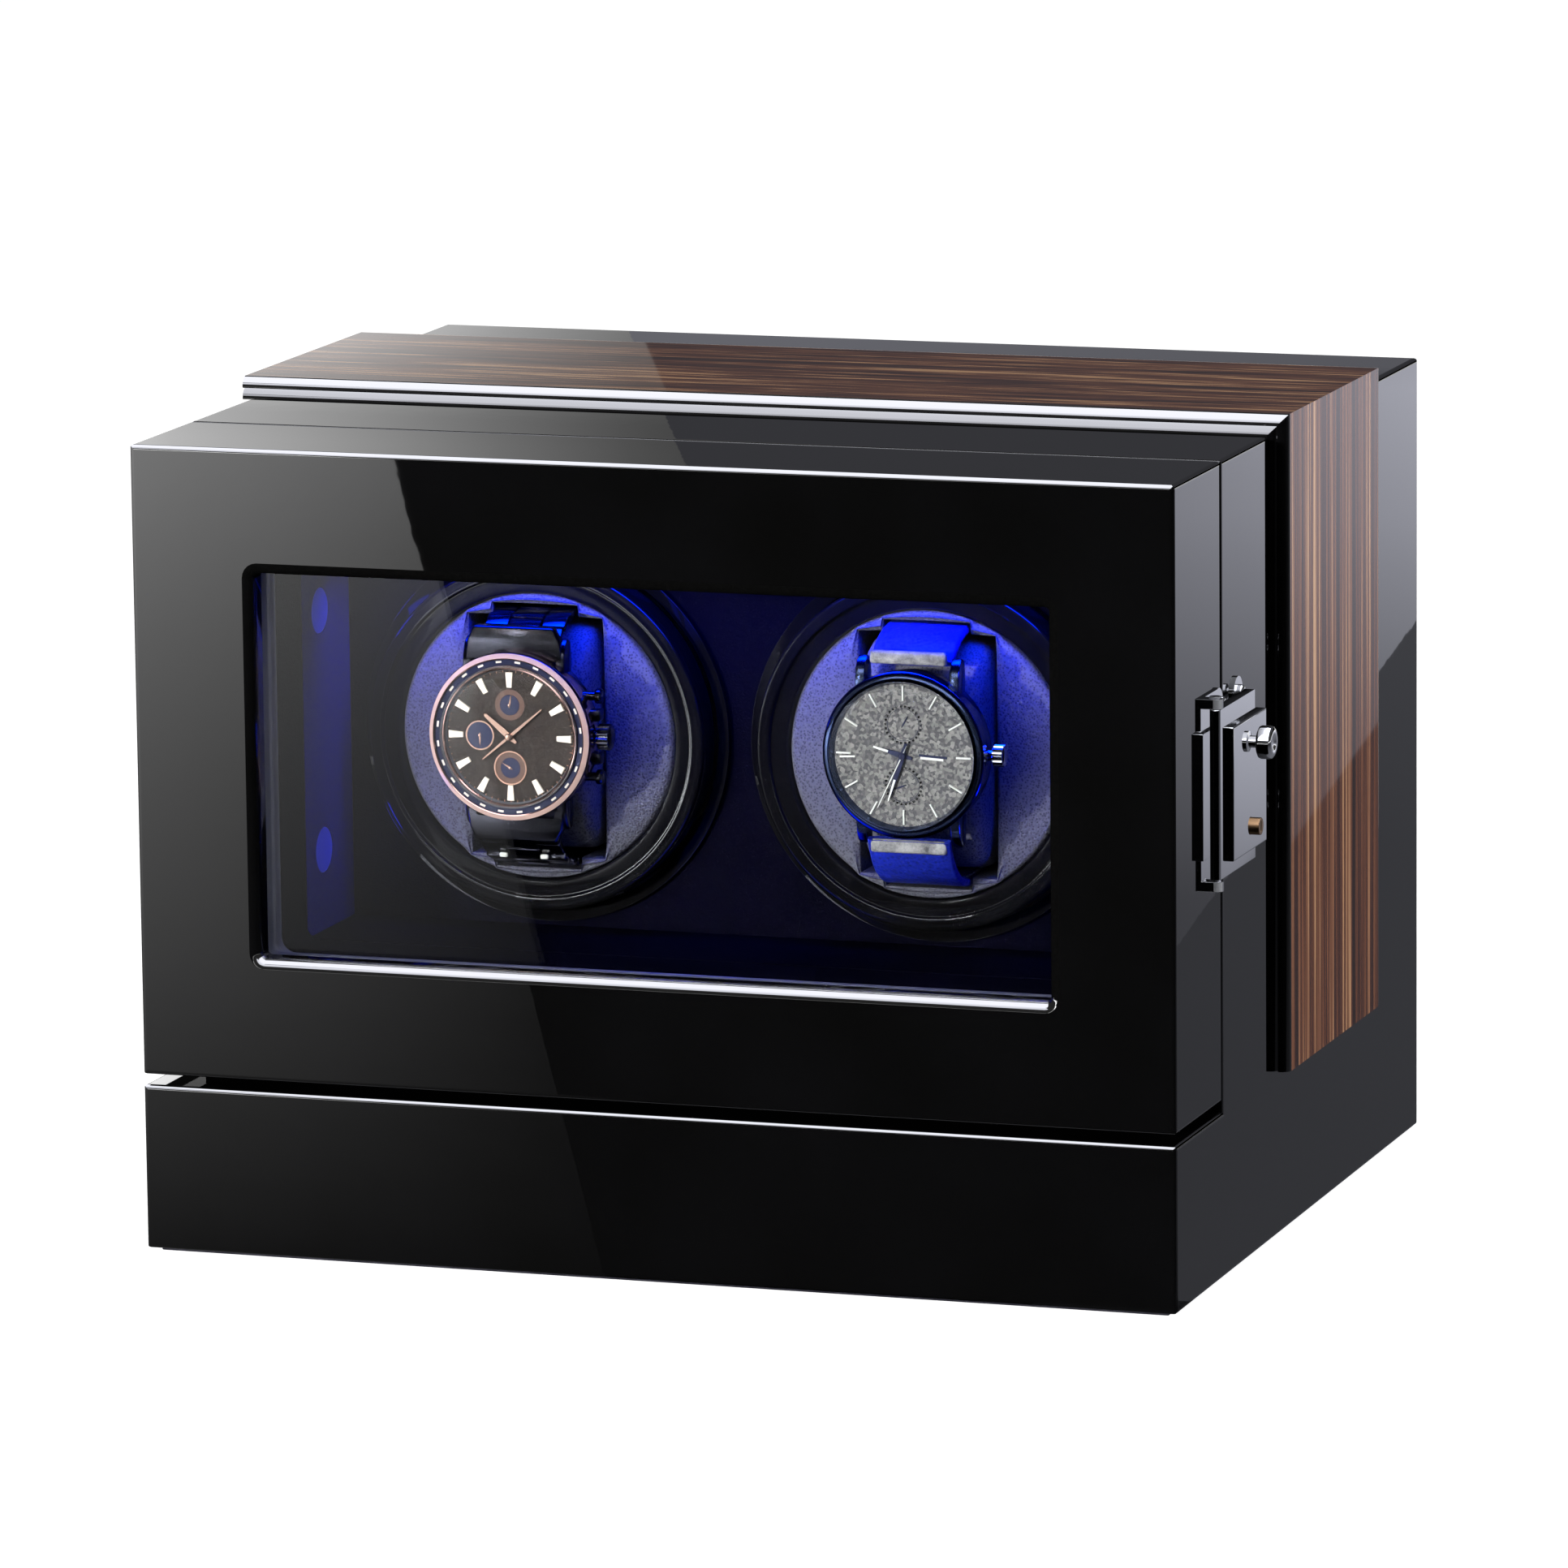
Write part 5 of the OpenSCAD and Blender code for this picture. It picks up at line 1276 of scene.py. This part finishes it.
def skyWorld():
    scene.world = bpy.data.worlds.new("studioAir")
    scene.world.use_nodes = True
    tree = scene.world.node_tree
    level = tree.nodes.new("ShaderNodeMapRange")
    level.inputs["To Min"].default_value = studio["fill"]
    level.inputs["To Max"].default_value = 1.0
    seen = brighter(tree, "Is Camera Ray", "Is Glossy Ray", "Is Transmission Ray")
    tree.links.new(seen, level.inputs["Value"])
    tree.links.new(level.outputs["Result"], tree.nodes["Background"].inputs["Strength"])


def paleFloor():
    bm = bmesh.new()
    size = studio["size"]
    bm.faces.new([bm.verts.new((x, y, 0)) for x, y in strip(-size, size, -size, size)])
    floor = addMesh("studioFloor", bm)
    f = Finish("paleFloor", (0.8, 0.8, 0.8), 0.9, Specular_IOR_Level=0.0, Emission_Color=(1, 1, 1, 1))
    away = f.node("ShaderNodeVectorMath", operation="LENGTH")
    reach = f.node("ShaderNodeMapRange", From_Min=0.25, From_Max=1.3, To_Min=studio["floor"], To_Max=0.97)
    glow = f.node("ShaderNodeMath", operation="MULTIPLY")
    f.link(f.coords.outputs["Object"], away.inputs[0])
    f.link(away.outputs["Value"], reach.inputs["Value"])
    f.link(brighter(f.tree, "Is Camera Ray", "Is Glossy Ray"), glow.inputs[0])
    f.link(reach.outputs["Result"], glow.inputs[1])
    f.link(glow.outputs[0], f.shader.inputs["Emission Strength"])
    floor.data.materials.append(f.material)


def lookUp(table, value):
    if value <= table[0][0]:
        return table[0][1]
    for (a, low), (b, high) in zip(table, table[1:]):
        if value <= b:
            return low + (high - low) * (value - a) / (b - a)
    return table[-1][1]


def card(name, corners, level, steps=(1, 1), tint=(1, 1, 1)):
    # a glowing or black sheet seen only in reflections; level gives its brightness at a point, and u and v
    # are the point's shares of the way across and up
    bm = bmesh.new()
    layer = bm.verts.layers.float.new("level")
    a, b, c, d = (Vector(p) for p in corners)
    grid = []
    for i in range(steps[0] + 1):
        u = i / steps[0]
        row = [bm.verts.new(a.lerp(b, u).lerp(d.lerp(c, u), j / steps[1])) for j in range(steps[1] + 1)]
        for j, vert in enumerate(row):
            vert[layer] = level(vert.co, u, j / steps[1])
        grid.append(row)
    for i in range(steps[0]):
        for j in range(steps[1]):
            bm.faces.new((grid[i][j], grid[i + 1][j], grid[i + 1][j + 1], grid[i][j + 1]))
    obj = addObject(name, toMesh(bm, name))
    material = bpy.data.materials.new(name)
    material.use_nodes = True
    tree = material.node_tree
    tree.nodes.clear()
    out, glow, value = (tree.nodes.new("ShaderNode" + kind)
                        for kind in ("OutputMaterial", "Emission", "Attribute"))
    glow.inputs["Color"].default_value = (*tint, 1)
    value.attribute_name = "level"
    tree.links.new(value.outputs["Fac"], glow.inputs["Strength"])
    tree.links.new(glow.outputs[0], out.inputs["Surface"])
    obj.data.materials.append(material)
    obj.visible_camera = obj.visible_diffuse = obj.visible_shadow = obj.visible_volume_scatter = False
    return obj


def areaLight(name, spot, target, size, power, colour=(1, 1, 1), spread=180, glossy=False):
    data = bpy.data.lights.new(name, "AREA")
    data.shape, data.size, data.size_y = "RECTANGLE", size[0], size[1]
    data.energy, data.color, data.spread = power, colour, math.radians(spread)
    obj = addObject(name, data)
    obj.location = spot
    obj.rotation_euler = (Vector(target) - Vector(spot)).to_track_quat("-Z", "Y").to_euler()
    obj.visible_camera, obj.visible_glossy = False, glossy
    return obj


skyWorld()
paleFloor()

# what the front mirrors: bright left of a line that runs towards the viewer, black right of it
lift = studio["lift"]
start, run, across = Vector((-0.005, -0.097, lift)), Vector((-0.387, -0.922, 0)), Vector((-0.922, 0.387, 0))
nearGlow = [(0, 0.35), (0.3, 0.4), (0.8, 0.9), (1.35, 1.5), (2, 1.8)]
farGlow = [(0, 3.0), (0.3, 2.4), (0.7, 2.25), (1.0, 2.3), (1.4, 2.5)]


def frontGlow(co, u, v):
    s, p = max((co - start).dot(run), 0), max((co - start).dot(across), 0)
    near, far = lookUp(nearGlow, s), lookUp(farGlow, s)
    return s ** 1.25 * (near + (far - near) * min(p / 0.1, 1.6)) + 0.02


card("frontBright", [start + run * s + across * p for s, p in ((-0.3, 0), (2.6, 0), (2.6, 2.0), (-0.3, 2.0))],
     frontGlow, (40, 60))
card("frontDark", [start, start + run * 2.6, (2.2, -2.6, lift), (2.2, -0.12, lift)], lambda co, u, v: 0.0)

# what the right side mirrors: a dim strip beside the box and a floor that brightens to the rear
sideShade = [(0.1, 0.14), (0.5, 0.155), (0.75, 0.185), (0.9, 0.20)]
sideGlow = [(0.0, 0.12), (0.40, 0.16), (0.45, 0.195), (0.732, 0.437), (0.83, 0.556), (0.93, 0.70),
            (1.03, 0.855), (1.14, 1.06), (1.21, 1.154), (1.34, 1.38), (1.47, 1.63)]
front, rear = ((0.282 + 0.141 * (y - 0.42), y, lift) for y in (-0.12, 2.0))
card("sideDark", [(0.1, front[1], lift), front, rear, (0.1, rear[1], lift)],
     lambda co, u, v: lookUp(sideShade, co.y), (2, 60), (0.9, 0.92, 1.05))
card("sideBright", [front, (2.4, front[1], lift), (2.4, rear[1], lift), rear],
     lambda co, u, v: lookUp(sideGlow, co.y) * max(1 - 1.8 * (co.x - 0.42), 0.3), (60, 60),
     (0.97, 0.985, 1.13))

# what the top mirrors: two sheets behind the box, with a slanted line between them
rearLift = [(0.40, 2.4), (0.42, 2.0), (0.445, 1.12), (0.453, 0.95), (0.459, 1.0), (0.465, 1.03)]
topGlow = [(-0.80, 1.25), (-0.78, 1.02), (-0.75, 0.87), (-0.72, 0.73), (-0.69, 0.59), (-0.66, 0.45),
           (-0.63, 0.33), (-0.60, 0.24), (-0.57, 0.165), (-0.545, 0.13)]
back = studio["back"]
low, high = ((-0.553 + (z - 0.456) * 0.43, back, z) for z in (0.30, 1.0))


def rightGlow(co, u, v):
    return lookUp([(0.416, 0.28 - 0.3 * max(co.x + 0.5, 0)), (0.424, 0.078), (0.6, 0.078)], co.z)


card("topLeft", [(-2.4, back, low[2]), low, high, (-2.4, back, high[2])],
     lambda co, u, v: lookUp(topGlow, co.x) * lookUp(rearLift, co.z), (160, 120))
card("topRight", [low, (1.8, back, low[2]), (1.8, back, high[2]), high], rightGlow, (60, 140),
     (0.97, 0.98, 1.12))
card("overheadSoftbox", [(x, y, 1.6) for x, y in strip(-1.3, 1.3, -1.7, 1.0)],
     lambda co, u, v: studio["overhead"], (1, 1), studio["cool"])
card("frontSoftbox", [(x, -3.1, z) for x, z in strip(-1.6, 1.6, 1.2, 3.4)],
     lambda co, u, v: studio["overhead"] * (0.6 + 0.4 * v), (1, 4), studio["cool"])

target = Vector((0, -0.05, 0.12))
keyLight = areaLight("keyLight", target + Vector((-0.344, -0.93, 0.13)) * studio["distance"], target,
                     (0.16, 0.16), studio["key"], studio["warm"])
areaLight("topLight", (0.1, -0.2, 1.5), (0, 0, 0.1), (1.4, 1.2), studio["top"])
areaLight("sideLight", (2.2, 0.5, 0.9), (0.14, 0, 0.12), (0.8, 0.8), studio["side"])
areaLight("barLight", (0, frontY + 55 * mm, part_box("led_lamps")[1].z - 4.2 * mm), (0, frontY + 92 * mm, 0.1),
          (0.19, 0.016), studio["bar"], studio["blue"], 105, True)
glow = card("bayGlow", [(x, frontY + depth * mm, 0.0765) for x, depth in strip(-0.034, 0.034, 26, 58)],
            lambda co, u, v: 5.0 * (1 - abs(2 * u - 1)), (8, 1), studio["blue"])
glow.visible_transmission = False
for s in (-1, 1):
    for z in (96.85, 159.85):
        spot = at(s * 107.6, 55, z)
        areaLight("lamp", spot, spot + Vector((-s, 0.6, 0)), (0.01, 0.01), studio["lamp"], studio["blue"],
                  150, True)


def share(light, receivers, leaveOut=False, blockers=None):
    # which pieces a light reaches, and which ones stop it
    light.light_linking.receiver_collection = bpy.data.collections.new(light.name + "Reach")
    for obj in receivers:
        light.light_linking.receiver_collection.objects.link(obj)
    if leaveOut:
        for entry in light.light_linking.receiver_collection.collection_objects:
            entry.light_linking.link_state = "EXCLUDE"
    if blockers:
        light.light_linking.blocker_collection = bpy.data.collections.new(light.name + "Stops")
        for obj in blockers:
            light.light_linking.blocker_collection.objects.link(obj)


padKey = areaLight("padKey", target + Vector((-0.53, -0.84, 0.06)) * studio["distance"], target, (0.1, 0.1),
                   studio["padKey"], studio["warm"])
padded = [obj for obj in scene.objects if obj.name.startswith(("drumPad", "cushion"))]
stoppers = [obj for obj in scene.objects if obj.name.startswith(("watch", "bracelet", "strap", "cushion"))]
share(keyLight, padded, leaveOut=True)
share(padKey, padded, blockers=stoppers)
print("studio set")

scene.view_settings.view_transform = "Standard"
